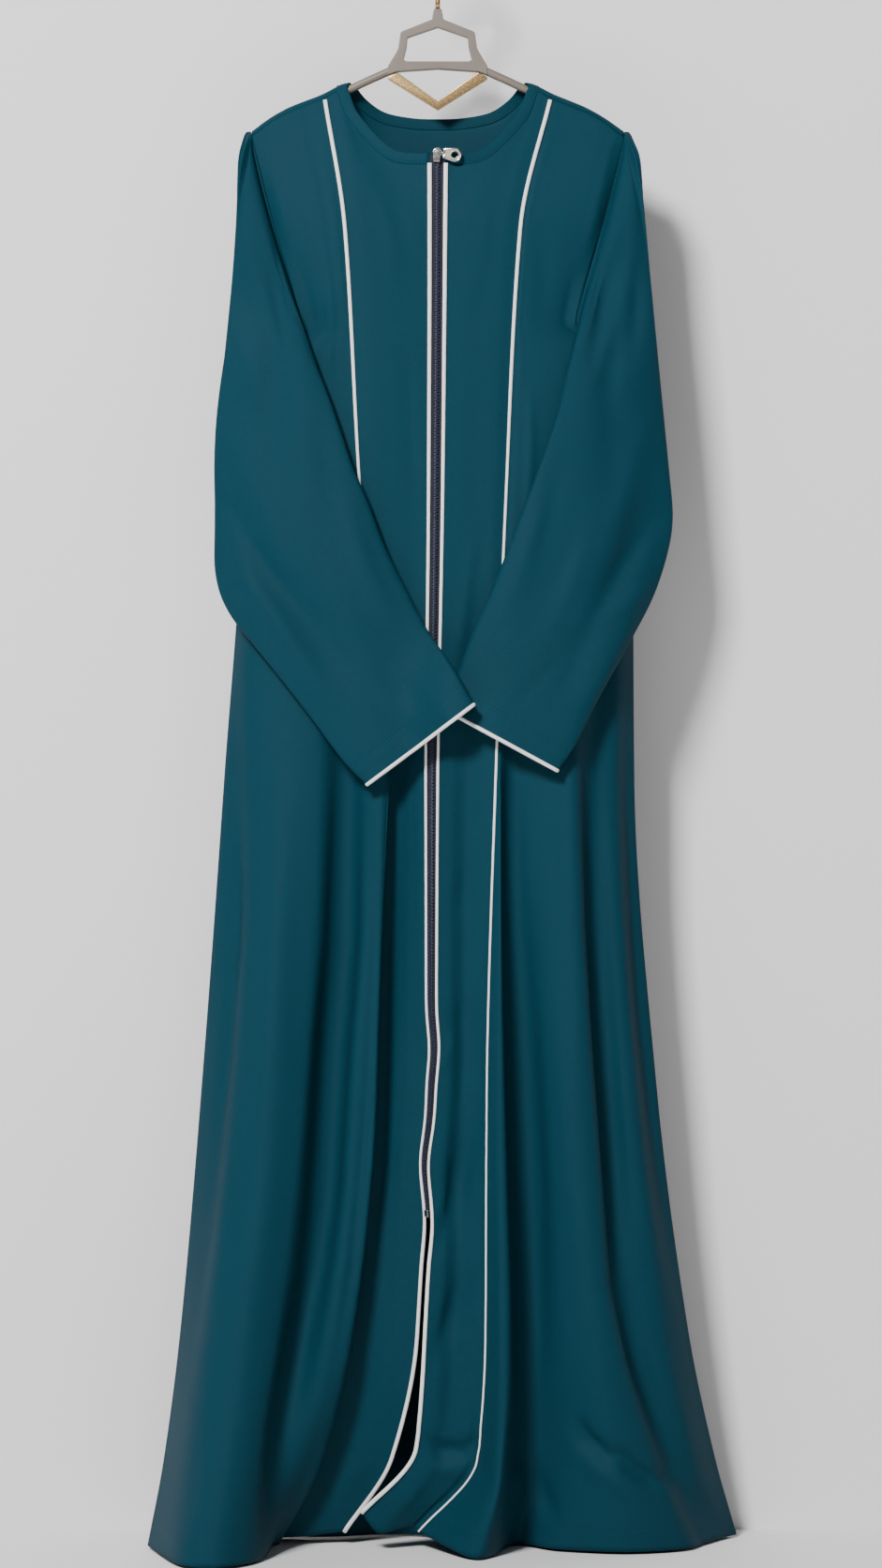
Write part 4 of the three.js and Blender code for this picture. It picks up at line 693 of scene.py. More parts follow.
left_normals = normals_of(left, -1)
right_normals = normals_of(right, -1)
back_normals = normals_of(back, 1)
shoulder_normal = np.array([0, -math.sin(FRONT_SEAM_ANGLE), math.cos(FRONT_SEAM_ANGLE)])
left_normals[0, :CORNER_LEFT + 1] = shoulder_normal
right_normals[0, CORNER_RIGHT:] = shoulder_normal
for fronts, column in ((left_normals, 0), (right_normals, -1)):
    shared = unit(fronts[:, column] + back_normals[:, column])
    below = SHARES >= ARMHOLE_SHARE
    fronts[below, column] = shared[below]
    back_normals[below, column] = shared[below]

PANELS = [
    ("cloth_side_left", "side_left", left, left_normals, 0, PRINCESS_LEFT),
    ("cloth_front_left", "front_left", left, left_normals, PRINCESS_LEFT, left_last),
    ("cloth_front_right", "front_right", right, right_normals, 0, PRINCESS_RIGHT),
    ("cloth_side_right", "side_right", right, right_normals, PRINCESS_RIGHT, right_last),
    ("cloth_back", "back", back, back_normals, 0, back.shape[1] - 1),
]
pieces = {}
for name, node, grid, normals, first, last in PANELS:
    pieces[node] = panel(name, grid, normals, first, last)


# Piping: a round cord in a bias strip, laid on a seam or an edge
def cord_rings(path, facing, radius, sides=14, flatten=1.0):
    """Rings of a cord along a path; facing is the way its top looks at each point."""
    path = np.asarray(path)
    along = unit(np.gradient(path, axis=0))
    side = unit(np.cross(along, facing))
    up = unit(np.cross(side, along))
    angles = 2 * np.pi * (np.arange(sides) + 0.5) / sides
    radius = np.broadcast_to(radius, (len(path),))[:, None, None]
    wide = side[:, None] * np.cos(angles)[None, :, None]
    high = up[:, None] * np.sin(angles)[None, :, None] * flatten
    return path[:, None] + (wide + high) * radius


# How thick the cords look at each height: they lie flatter and more turned in down the skirt
PRINCESS_CORD = [(-160, 2.05), (-450, 1.7), (-560, 1.4), (-900, 1.25), (-1200, 1.0), (-1614, 1.1)]
FRONT_CORD = [(-225, 2.25), (-500, 1.85), (-800, 1.4), (-1230, 1.3), (-1320, 1.9), (-1614, 2.2)]


def seam_cord(name, grid, normals, column, first_row, sizes):
    heights, radii = zip(*sizes)
    path = grid[first_row:, column]
    facing = normals[first_row:, column]
    radius = np.interp(-path[:, 2], [-z for z in heights], radii)
    path = path + facing * (0.6 * radius + 0.1)[:, None]
    return tube(name, cord_rings(path, facing, radius, flatten=0.8))


SEAM_CORDS = [
    ("princess", "left", left, left_normals, PRINCESS_LEFT, 1, PRINCESS_CORD),
    ("princess", "right", right, right_normals, PRINCESS_RIGHT, 1, PRINCESS_CORD),
    ("front", "left", left, left_normals, left_last, 0, FRONT_CORD),
    ("front", "right", right, right_normals, 0, 0, FRONT_CORD),
]
for seam, side, *laid in SEAM_CORDS:
    pieces[f"{seam}_piping_{side}"] = seam_cord(f"{seam}_cord_{side}", *laid)


# Neckband: a strip that stands on the neck seam all the way round, open at the zip. Behind, its face turns
# with the back's columns: the columns' numbers, and their angles over the arm.
NECK_TURN = [5, 6, 7, 8, 9, 10], [1.25, 0.6, 0, -0.6, -1.2, -math.pi / 2]


def neckband():
    corner_back = CORNER_COLUMN * BACK_STEPS
    seam = [left[0, c] for c in range(left_last, CORNER_LEFT - 1, -2)]
    facing = [np.array([0, -1.0, 0])] * len(seam)
    for c in range(corner_back + 1, back.shape[1] - corner_back - 1):
        place = min(c, back.shape[1] - 1 - c) / BACK_STEPS
        angle = np.interp(place, *NECK_TURN)
        seam.append(back[0, c])
        facing.append(np.array([0, -math.sin(angle), math.cos(angle)]))
    fronts = [right[0, c] for c in range(CORNER_RIGHT, -1, -2)]
    seam += fronts
    facing += [np.array([0, -1.0, 0])] * len(fronts)
    seam, facing = np.array(seam), np.array(facing)
    middle = np.array(NECK_MIDDLE)
    way = unit(np.cross(np.gradient(seam, axis=0), facing))
    wrong = np.sum(way * (middle - seam), axis=1) < 0
    way[wrong] *= -1
    way[0] = way[-1] = (0, 0, 1)
    wide = np.abs(seam[:, 0]) >= BAND_RIDGE_X
    nearer = np.abs(seam[:, 0]) - BAND_WIDTH
    leaning = unit(xyz(-np.sign(seam[:, 0]) * BAND_WIDTH, 0, ridge_at(nearer) - ridge_at(seam[:, 0])))
    way[wide] = leaning[wide]
    for _ in range(3):
        way[1:-1] = unit(way[:-2] + 2 * way[1:-1] + way[2:])
    distances = np.linspace(BAND_WIDTH, -0.6, 9)
    grid = np.stack([seam + way * d for d in distances])
    out = normals_of(grid, 1)
    swell = np.sin(np.linspace(0, np.pi, len(distances)))[:, None, None] * BAND_SWELL
    outer = grid + out * swell
    return shell("neckband_strip", outer, grid - out * (BAND_THICK - 0.2))


pieces["neckband"] = neckband()

# Sleeves: each row is one flattened section, from the armhole to the cuff: outer fold x and z, inner fold x
# and z, and half its depth. The left sleeve lies over the right one at the cuffs.
LEFT_SLEEVE = [
    (-184, -204, -136, -394, 5), (-186, -215, -133, -402, 6), (-189, -232, -129, -411, 6.5),
    (-194, -257, -123, -425, 7), (-199, -298, -117, -443, 7.5), (-205, -354, -108, -466, 8),
    (-211, -414, -97, -498, 8), (-217, -475, -84, -537, 8), (-221, -535, -69, -572, 8),
    (-222, -595, -51, -619, 8), (-221, -644, -30, -662, 8), (-207, -682, -12, -696, 8),
    (-172, -726, 4, -720, 8), (-131, -778, 19, -743, 8.5), (-93, -829, 30, -763, 9),
    (-71, -851, 35, -772, 9.5),
]
RIGHT_SLEEVE = [
    (184, -204, 136, -394, 5), (187, -215, 136, -402, 6), (192, -232, 134, -412, 6.5),
    (198, -257, 131, -427, 7), (205, -298, 126, -449, 7.5), (212, -354, 119, -481, 8),
    (218, -414, 107, -518, 8), (224, -475, 94, -554, 8), (230, -535, 80, -592, 8), (234, -586, 65, -631, 8),
    (228, -625, 51, -665, 8), (212, -670, 38, -693, 8), (188, -714, 27, -721, 8), (161, -763, 17, -748, 8),
    (136, -812, 11, -767, 8.5), (119, -837, 10, -778, 9),
]
SLEEVE_CLEARANCE = 4.6
LEAST_CLEARANCE = 2.5
LEDGE = {"front": 3, "under": 8}
SLEEVE_SEAM_GAP = {"front": 0.5, "under": 1.7}
SLEEVE_HEAD = [0.1, 0.3, 0.6, 0.85]
UNDERARM_WAYS = {-2: (0.1, 1), -1: (0.15, 1), 0: (0.3, 1), 1: (0.7, 0.7), 2: (0.9, 0.45), 3: (1, 0.2)}

# A map of how far the cloth stands out in front, in square cells over the upper body
CELL = 6
FIELD_LEFT, FIELD_TOP = -330, -130
FIELD_COLS, FIELD_ROWS = 110, 128
NO_CLOTH = 999.0
BARE_DEPTH = -8


def add_to_field(field, points):
    points = points.reshape(-1, 3)
    c = np.floor((points[:, 0] - FIELD_LEFT) / CELL).astype(int)
    r = np.floor((FIELD_TOP - points[:, 2]) / CELL).astype(int)
    inside = (c >= 0) & (r >= 0) & (c < FIELD_COLS) & (r < FIELD_ROWS)
    np.minimum.at(field, (r[inside], c[inside]), points[inside, 1])


def cleared(field, reach):
    """Widens the map's high places by some cells, then smooths it as far, so that it clears them all."""
    def sweep(values, combine):
        for axis in (0, 1):
            padded = np.pad(values, [(reach, reach) if k == axis else (0, 0) for k in (0, 1)], mode="edge")
            size = values.shape[axis]
            parts = [np.take(padded, range(k, k + size), axis=axis) for k in range(2 * reach + 1)]
            values = combine(np.stack(parts))
        return values

    widened = sweep(field, lambda near: near.min(axis=0))
    widened = np.where(widened == NO_CLOTH, BARE_DEPTH, widened)
    return sweep(widened, lambda near: near.mean(axis=0))


def field_at(field, x, z):
    fx = np.clip((x - FIELD_LEFT) / CELL - 0.5, 0, FIELD_COLS - 1.001)
    fz = np.clip((FIELD_TOP - z) / CELL - 0.5, 0, FIELD_ROWS - 1.001)
    c, r = int(fx), int(fz)
    near = mix(field[r, c], field[r, c + 1], fx - c)
    far = mix(field[r + 1, c], field[r + 1, c + 1], fx - c)
    return mix(near, far, fz - r)


def body_field():
    field = np.full((FIELD_ROWS, FIELD_COLS), NO_CLOTH)
    upper = SHARES < 0.52
    for grid in (left, right):
        add_to_field(field, grid[upper])
        add_to_field(field, (grid[upper][:-1] + grid[upper][1:]) / 2)
    return field


open_field = body_field()


def cloth_at(x, z):
    c, r = int((x - FIELD_LEFT) // CELL), int((FIELD_TOP - z) // CELL)
    return open_field[r, c]


def armhole_ring(front_line, front_inside, back_line, back_inside, side):
    """The armhole's edge as one ring: down the front to its deepest point, under the arm, up the back."""
    rows = COARSE_ROWS
    last = len(rows) - 1
    places = list(front_line(rows)) + list(back_line[1:last][::-1])
    insides = list(front_inside(rows)) + list(back_inside[1:last][::-1])
    ring = []
    for k, (p, inside) in enumerate(zip(places, insides)):
        run = unit(places[(k + 1) % len(places)] - places[k - 1])
        step = UNDERARM_WAYS.get(k - last)
        away = np.array([side * step[0], 0, step[1]]) if step else p - inside
        away = unit(away)
        away = unit(away - run * (away @ run))
        part = "under" if k > ARMHOLE_DEEP_ROW else "front"
        from_top = min(k, len(places) - k)
        head = SLEEVE_HEAD[from_top] if from_top < len(SLEEVE_HEAD) else 1
        ring.append((p + away * SLEEVE_SEAM_GAP[part] * head, p + away * LEDGE[part] * head, away))
    return ring


FRONT_PULL = [(1, 1), (0.8, 0.8), (0.55, 0.55), (0.3, 0.3), (0.12, 0.12), (0.03, 0.03)]
BACK_PULL = [(1, 1), (1, 0.5), (0.95, 0.12), (0.6, 0.02), (0.25, 0), (0.05, 0)]
UNDERARM_ROLL = [0, 1, 2, 2, 1]


def sleeve_rings(sections, ring, field):
    """Coarse rings down a sleeve, the armhole first; it comes forward off the armhole and lies flat."""
    count = len(ring)

    def phase(k):
        if k <= ARMHOLE_DEEP_ROW:
            return mix(0.25, math.pi, k / ARMHOLE_DEEP_ROW)
        return mix(math.pi, 2 * math.pi + 0.25, (k - ARMHOLE_DEEP_ROW) / (count - ARMHOLE_DEEP_ROW))

    def flat(section, k):
        outer_x, outer_z, inner_x, inner_z, half = section
        t = (1 - math.cos(phase(k))) / 2
        x, z = mix(outer_x, inner_x, t), mix(outer_z, inner_z, t)
        middle = field_at(field, x, z) - SLEEVE_CLEARANCE - half
        sine = math.sin(phase(k))
        return np.array([x, middle - half * math.copysign(abs(sine) ** 0.7, sine), z])

    rings = [[seam for seam, _, _ in ring]]
    for r, section in enumerate(sections):
        row = []
        for k, (_, off, away) in enumerate(ring):
            pulls = BACK_PULL if k > ARMHOLE_DEEP_ROW else FRONT_PULL
            wide, deep = pulls[r] if r < len(pulls) else (0, 0)
            p = flat(section, k) + (off - flat(sections[0], k)) * np.array([wide, deep, wide])
            if k > ARMHOLE_DEEP_ROW and r < len(UNDERARM_ROLL):
                p = p + away * UNDERARM_ROLL[r]
            cloth = cloth_at(p[0], p[2])
            if r > 0 and cloth < NO_CLOTH:
                p[1] = min(p[1], cloth - LEAST_CLEARANCE)
            row.append(p)
        rings.append(row)
    return np.array(rings)


back_edges = back_lines(COARSE_ROWS)
left_ring = armhole_ring(left_lines[0], lambda s: mix(left_lines[0](s), left_lines[1](s), 0.5),
                         back_edges[0], back_edges[1], -1)
right_ring = armhole_ring(right_lines[-1], lambda s: mix(right_lines[-1](s), right_lines[-2](s), 0.5),
                          back_edges[-1], back_edges[-2], 1)


def refined(rings, along, round_steps):
    """A finer grid through coarse rings, smooth both ways; it closes on itself round the sleeve."""
    count = rings.shape[1]
    wrapped = np.concatenate([rings[:, -2:], rings, rings[:, :3]], axis=1)
    fine = across(wrapped.transpose(1, 0, 2), round_steps)
    fine = fine[:, 2 * round_steps: (2 + count) * round_steps]
    return across(fine, along).transpose(1, 0, 2)


SLEEVE_ALONG = 9
SLEEVE_ROUND = 6
right_coarse = sleeve_rings(RIGHT_SLEEVE, right_ring, cleared(open_field, 3))
over_right = open_field.copy()
add_to_field(over_right, refined(right_coarse, SLEEVE_ALONG, SLEEVE_ROUND))
left_coarse = sleeve_rings(LEFT_SLEEVE, left_ring, cleared(over_right, 3))


def sleeve(name, coarse, outward_sign, seed):
    grid = refined(coarse, SLEEVE_ALONG, SLEEVE_ROUND)
    normals = normals_of(grid, outward_sign, closed=True)
    height = crease_height(grid, SLEEVE_CREASES) + ripple(grid, 0.4, seed)
    front = np.clip(-normals[..., 1] * 1.5, 0, 1)
    rows = np.linspace(0, 1, len(grid))[:, None]
    height *= front * np.clip(rows / 0.06, 0, 1)
    turn = np.linalg.norm(grid - grid[-1][None], axis=-1)
    height -= 0.5 * np.exp(-((turn - HEM_TURN) / 1.6) ** 2) * np.clip(rows / 0.5 - 1, 0, 1)
    grid = grid + normals * height[..., None]
    normals = normals_of(grid, outward_sign, closed=True)
    return shell(name, grid, grid - normals * CLOTH, closed=True), grid, normals


pieces["sleeve_left"], left_sleeve, left_sleeve_normals = sleeve("cloth_sleeve_left", left_coarse, -1, 7)
pieces["sleeve_right"], right_sleeve, right_sleeve_normals = sleeve("cloth_sleeve_right", right_coarse, 1, 8)


def cuff_cord(name, grid, normals):
    """The piping round a cuff sits below the sleeve's last ring."""
    down = unit(grid[-1] - grid[-3])
    path = grid[-1] - normals[-1] * CLOTH / 2 + down * (CUFF_PIPING_RADIUS * 0.8)
    angles = 2 * np.pi * np.arange(12) / 12
    rings = []
    for p, n, d in zip(path, normals[-1], down):
        rings.append([p + CUFF_PIPING_RADIUS * (n * math.cos(a) + d * math.sin(a)) for a in angles])
    return tube(name, rings, closed=True)


pieces["cuff_piping_left"] = cuff_cord("cuff_cord_left", left_sleeve, left_sleeve_normals)
pieces["cuff_piping_right"] = cuff_cord("cuff_cord_right", right_sleeve, right_sleeve_normals)

# Zip
ZIP_CENTRE_X = -1
ZIP_TOP = -225.5
TAPE_THICK, TAPE_SINK = 0.85, 0.15
TAPE_GAP = 0.012
COIL_WIDTH = 5
COIL_PITCH = 1.7
COIL_WIRE = 0.62
COIL_LEAN = 0.32
COIL_SIDES = 6
COIL_BAR = [(-1, 0.45), (-0.62, 1), (0.62, 1), (1, 0.45)]
SLIDER_TOP, SLIDER_HEIGHT = -224, 9.4
STOP_TOP, STOP_HEIGHT = -1273, 7
STOP_WIDTH, STOP_THICK = 6.6, 2.6
zip_rows = np.flatnonzero(SHARES <= ZIP_SHARE + 1e-6)
zip_left = left[zip_rows, left_last]
zip_right = right[zip_rows, 0]
zip_middle = (zip_left + zip_right) / 2
zip_across = unit(zip_right - zip_left)
zip_facing = unit(np.cross(zip_across, np.gradient(zip_middle, axis=0)))
zip_facing *= np.sign(-zip_facing[:, 1:2])


def zip_tape(name, start, end):
    """One tape: a flat strip between two shares of the way from the left front edge to the right one."""
    columns = []
    for t in np.linspace(start, end, 7):
        kept = np.clip(t, 0.02, 0.98)
        if t == 0.5:
            kept += TAPE_GAP if start == 0.5 else -TAPE_GAP
        columns.append(mix(zip_left, zip_right, kept) - zip_facing * TAPE_SINK)
    grid = np.stack(columns, axis=1)
    top = grid[:1].copy()
    top[..., 2] = ZIP_TOP
    grid = np.concatenate([top, grid])
    facing = np.concatenate([zip_facing[:1], zip_facing])[:, None]
    return shell(name, grid, grid - facing * TAPE_THICK)


pieces["zip_tape_left"] = zip_tape("tape_left", 0, 0.5)
pieces["zip_tape_right"] = zip_tape("tape_right", 0.5, 1)


def zip_at(z):
    heights = -zip_middle[:, 2]

    def at(table):
        return np.stack([np.interp(-z, heights, table[:, k]) for k in range(3)], axis=-1)

    return at(zip_middle), unit(at(zip_across)), unit(at(zip_facing))


def coil_teeth(name):
    """Interlocked coil turns: short rounded bars across the zip, leaning left and right in turn."""
    stops = np.arange(SLIDER_TOP - SLIDER_HEIGHT - 1, STOP_TOP + 1, -COIL_PITCH)
    place, side, facing = zip_at(stops)
    down = unit(np.cross(side, facing))
    points, faces, uvs = [], [], []
    for i, (p, s, f, d) in enumerate(zip(place, side, facing, down)):
        lean = COIL_LEAN if i % 2 else -COIL_LEAN
        base = len(points)
        for step, thick in COIL_BAR:
            centre = p + s * step * COIL_WIDTH / 2 + f * (1.35 + 0.35 * (1 - step ** 2)) + d * lean * step
            for a in range(COIL_SIDES):
                angle = 2 * math.pi * a / COIL_SIDES
                points.append(centre + (f * math.sin(angle) + d * math.cos(angle)) * COIL_WIRE * thick)
                uvs.append((step, p[2]))
        for k in range(len(COIL_BAR) - 1):
            ring = base + COIL_SIDES * k
            for a in range(COIL_SIDES):
                one, two = ring + a, ring + (a + 1) % COIL_SIDES
                faces.append((one, two, two + COIL_SIDES, one + COIL_SIDES))
        faces.append(tuple(range(base + COIL_SIDES - 1, base - 1, -1)))
        faces.append(tuple(range(len(points) - COIL_SIDES, len(points))))
    return outward(mesh_object(name, points, faces, uvs))


pieces["zip_coil"] = coil_teeth("coil_teeth")


def bevelled(built, width, segments=2, angle=30):
    """Rounds a hard piece's edges."""
    bm = bmesh.new()
    bm.from_mesh(built.data)
    bmesh.ops.remove_doubles(bm, verts=bm.verts, dist=1e-6)
    edges = [e for e in bm.edges if len(e.link_faces) == 2 and e.calc_face_angle(0) > math.radians(angle)]
    bmesh.ops.bevel(bm, geom=edges, offset=width * MM, segments=segments, profile=0.7, affect="EDGES",
                    clamp_overlap=True)
    bm.to_mesh(built.data)
    bm.free()
    built.data.shade_smooth()
    return built


def plate(name, outline, front, rear, hole=None):
    """A flat piece: an outline in x and z between two depths, with an optional hole."""
    bm = bmesh.new()
    loops = [outline] + ([hole] if hole is not None else [])
    edges = []
    for loop in loops:
        verts = [bm.verts.new((x * MM, front * MM, z * MM)) for x, z in loop]
        edges += [bm.edges.new((verts[i], verts[(i + 1) % len(verts)])) for i in range(len(verts))]
    bmesh.ops.triangle_fill(bm, use_beauty=True, edges=edges)
    bmesh.ops.dissolve_limit(bm, angle_limit=0.01, verts=bm.verts, edges=bm.edges)
    lifted = bmesh.ops.extrude_face_region(bm, geom=list(bm.faces))
    moved = [v for v in lifted["geom"] if isinstance(v, bmesh.types.BMVert)]
    bmesh.ops.translate(bm, verts=moved, vec=(0, (rear - front) * MM, 0))
    bmesh.ops.recalc_face_normals(bm, faces=bm.faces)
    mesh = bpy.data.meshes.new(name)
    bm.to_mesh(mesh)
    bm.free()
    return placed(name, mesh)


def joined(name, parts):
    """One piece from several, without changing their shapes."""
    bm = bmesh.new()
    for part in parts:
        bm.from_mesh(part.data)
        bpy.data.objects.remove(part)
    mesh = bpy.data.meshes.new(name)
    bm.to_mesh(mesh)
    bm.free()
    mesh.shade_smooth()
    return placed(name, mesh)


def circle(x, z, radius, steps, start=0.0, end=2 * math.pi):
    whole = abs(end - start - 2 * math.pi) < 1e-6
    angles = np.linspace(start, end, steps, endpoint=not whole)
    return [(x + radius * math.cos(a), z + radius * math.sin(a)) for a in angles]


# Slider, its eye link and its pull tab: depths from the tape's front
TAPE_Y = -24
SLIDER_Y = (TAPE_Y - 5.3, TAPE_Y - 0.3)
LINK_Y = (SLIDER_Y[0] - 1.6, SLIDER_Y[0] - 0.3)
LINK_MIDDLE = sum(LINK_Y) / 2
LINK_X, LINK_Z = -0.1, -224.4
LINK_RADIUS, LINK_HOLE = 4.6, 1.9
POST_RADIUS, CAP_RADIUS = 1.5, 2.6
KNUCKLE_HALF, KNUCKLE_RADIUS, KNUCKLE_END = 1.6, 0.85, 0.7
TAB = {
    "hinge": 5.4, "length": 24, "half": 4.7, "end": 6.8, "hole": 3.4, "thick": 1.6, "tilt": 0.14,
    "slot": 1.9, "slot_deep": 1.3, "rim": 1.4, "rim_high": 0.4, "lip": 0.7,
}


def slider_piece():
    bottom = SLIDER_TOP - SLIDER_HEIGHT
    half = 3.7
    shape = [
        (-0.8, bottom), (0.8, bottom), (0.95, bottom + 2.4), (1, SLIDER_TOP - 3), (0.85, SLIDER_TOP + 1),
        (0.6, SLIDER_TOP + 3), (-0.6, SLIDER_TOP + 3), (-0.85, SLIDER_TOP + 1), (-1, SLIDER_TOP - 3),
        (-0.95, bottom + 2.4),
    ]
    shape = [(ZIP_CENTRE_X + half * x, z) for x, z in shape]
    body = bevelled(plate("slider_body", shape, *SLIDER_Y), 0.8, 3)
    cap_rear = LINK_Y[0] - 0.3
    post = plate("slider_post", circle(LINK_X, LINK_Z, POST_RADIUS, 20), cap_rear, SLIDER_Y[0] + 0.4)
    post = bevelled(post, 0.2)
    cap = plate("slider_cap", circle(LINK_X, LINK_Z, CAP_RADIUS, 24), LINK_Y[0] - 1, cap_rear)
    cap = bevelled(cap, 0.3)
    return joined("slider_metal", [body, post, cap])


def tilted(built):
    """Turns a piece drawn along +X from the link's middle to the way the tab lies, and puts it there."""
    c, s = math.cos(TAB["tilt"]), math.sin(TAB["tilt"])
    for v in built.data.vertices:
        x, y, z = v.co
        v.co = (x * c + z * s + LINK_X * MM, y, -x * s + z * c + LINK_Z * MM)
    built.data.update()
    return built


def link_piece():
    ring = plate("link_ring", circle(0, 0, LINK_RADIUS, 40), *LINK_Y, hole=circle(0, 0, LINK_HOLE, 28))
    ring = bevelled(ring, 0.5, 3)
    knuckle = []
    for z in np.linspace(-KNUCKLE_HALF, KNUCKLE_HALF, 5):
        radius = KNUCKLE_RADIUS if abs(z) < KNUCKLE_HALF else KNUCKLE_END
        knuckle.append([(TAB["hinge"] + radius * math.cos(a), LINK_MIDDLE + radius * math.sin(a), z)
                        for a in np.linspace(0, 2 * math.pi, 14, endpoint=False)])
    return tilted(joined("link_metal", [ring, tube("link_knuckle", knuckle)]))


def tab_piece():
    end_x = TAB["length"] - TAB["end"]
    start, half = TAB["hinge"], TAB["half"]
    slot, slot_end = TAB["slot"], start + TAB["slot_deep"]
    front, rear = LINK_MIDDLE - TAB["thick"] / 2, LINK_MIDDLE + TAB["thick"] / 2
    floor = front + TAB["rim_high"]

    def hole(wider):
        return circle(end_x, 0, TAB["hole"] + wider, 28)

    def inside_rim(gap):
        x, z = slot_end + 1.2 + gap, half - 1.3 - gap
        return [(x, -z)] + circle(end_x, 0, TAB["end"] - TAB["rim"] - gap, 26, -1.8, 1.8) + [(x, z)]

    outline = [(start, -half)] + circle(end_x, 0, TAB["end"], 26, -1.75, 1.75) + [
        (start, half), (start, slot), (slot_end, slot), (slot_end, -slot), (start, -slot),
    ]
    body = bevelled(plate("tab_body", outline, floor - 0.05, rear, hole=hole(0)), 0.25)
    rim = bevelled(plate("tab_rim", outline, front, floor, hole=inside_rim(0)), 0.12, 1)
    eyelet = bevelled(plate("tab_eyelet", hole(TAB["lip"]), front, floor, hole=hole(0)), 0.12, 1)
    metal = tilted(joined("tab_metal", [body, rim, eyelet]))
    sunk = plate("tab_inlay", inside_rim(0.05), front + 0.22, front + 0.36, hole=hole(TAB["lip"] + 0.05))
    return metal, tilted(sunk)


pieces["zip_slider"] = slider_piece()
pieces["zip_link"] = link_piece()
pieces["zip_pull_tab"], tab_inlay = tab_piece()


def stop_piece():
    place, side, facing = (v[0] for v in zip_at(np.array([STOP_TOP - STOP_HEIGHT / 2])))
    half_x, half_z = STOP_WIDTH / 2, STOP_HEIGHT / 2
    shape = [(-half_x, -half_z), (half_x, -half_z), (half_x, half_z), (-half_x, half_z)]
    built = plate("stop_metal", shape, -STOP_THICK / 2, STOP_THICK / 2)
    bevelled(built, 0.7, 3)
    down = np.cross(side, facing)
    centre = (place + facing * (SEAM_GAP * 1.5 + STOP_THICK / 2)) * MM
    for v in built.data.vertices:
        x, y, z = v.co
        v.co = tuple(centre + side * x - facing * y + down * z)
    return built


pieces["zip_stop"] = stop_piece()

# Hanger
ARM_RADIUS = 4
FRAME_HALF = [
    (3.9, -77), (5.8, -87.5), (35.6, -99.4), (37.2, -101), (39.5, -116.5), (41.5, -120.5), (49.7, -134),
    (49.7, -143), (41, -139.7),
]
WINDOW_HALF = [(30, -105.6), (31, -115.9), (34, -127.5), (31.5, -129.4)]
ARM_PATH = [(40, -135.3), (50, -139.5), (70, -148.4), (89, -157.4)]
ARM_STATIONS = [(101, 0), (114, 0), (129, 0.1), (144, 0.4), (157, 1), (167, 2.4)]
BRACE_HALF = [(0, -178.1), (49.5, -147.3), (49.5, -144.7), (40.5, -140)]
WIRE_RADIUS = 2.6
HOOK_RADIUS = 20


def mirrored(points):
    return [(-x, z) for x, z in points[::-1]]


def hanger_frame():
    outline = FRAME_HALF + [(0, -136.9)] + mirrored(FRAME_HALF)
    window = [(0, -95.3)] + WINDOW_HALF + mirrored(WINDOW_HALF)
    parts = [bevelled(plate("frame_house", outline, -4.5, 4.5, hole=window), 1.5, 4, angle=12)]
    for side in (-1, 1):
        centres = ARM_PATH + [(x, float(ridge_at(x)) - RIDGE_RADIUS - below) for x, below in ARM_STATIONS]
        steps = np.linspace(0, len(centres) - 1, 60)
        x = np.interp(steps, range(len(centres)), [c[0] for c in centres])
        z = np.interp(steps, range(len(centres)), [c[1] for c in centres])
        path = xyz(side * x, 0, z)
        radius = np.full(len(path), float(ARM_RADIUS))
        radius[-3:] = (3.6, 2.8, 1.6)
        facing = np.broadcast_to([0, -1.0, 0], path.shape)
        parts.append(tube("frame_arm", cord_rings(path, facing, radius, sides=24)))
    return joined("hanger_house", parts)


def hanger_brace():
    outline = BRACE_HALF + [(0, -168.8)] + mirrored(BRACE_HALF[1:])
    return bevelled(plate("hanger_vee", outline, -2, 2), 0.9, 3, angle=12)


def hanger_hook():
    centre = HOOK_RADIUS + WIRE_RADIUS
    path = [(0, -76.7), (0, -70), (0, -65), (0.6, -57), (3.4, -48.5)]
    for a in np.linspace(-1.05, 3.35, 56):
        path.append((centre * math.cos(a), -HOOK_RADIUS + centre * math.sin(a)))
    path = np.array([(x, 0, z) for x, z in path], float)
    radius = np.full(len(path), WIRE_RADIUS)
    radius[-2:] = (2.2, 1.2)
    facing = np.broadcast_to([0, -1.0, 0], path.shape)
    wire = tube("hook_wire_rings", cord_rings(path, facing, radius, sides=20))
    return joined("hook_wire", [wire])


pieces["hanger_frame"] = hanger_frame()
pieces["hanger_brace"] = hanger_brace()
pieces["hanger_hook"] = hanger_hook()


# Materials
class Wire:
    """A socket that takes part in sums: each operation adds one Math node."""

    def __init__(self, tree, socket):
        self.tree = tree
        self.socket = socket

    def _math(self, operation, one, two=None):
        values = {0: one} if two is None else {0: one, 1: two}
        return self.tree.node("ShaderNodeMath", {"operation": operation}, values)

    def __add__(self, other):
        return self._math("ADD", self, other)

    __radd__ = __add__

    def __sub__(self, other):
        return self._math("SUBTRACT", self, other)

    def __rsub__(self, other):
        return self._math("SUBTRACT", other, self)

    def __mul__(self, other):
        return self._math("MULTIPLY", self, other)

    __rmul__ = __mul__

    def __lt__(self, other):
        return self._math("LESS_THAN", self, other)

    def sine(self):
        return self._math("SINE", self)

    def size(self):
        return self._math("ABSOLUTE", self)

    def wrapped(self, period):
        return self._math("FLOORED_MODULO", self, period)


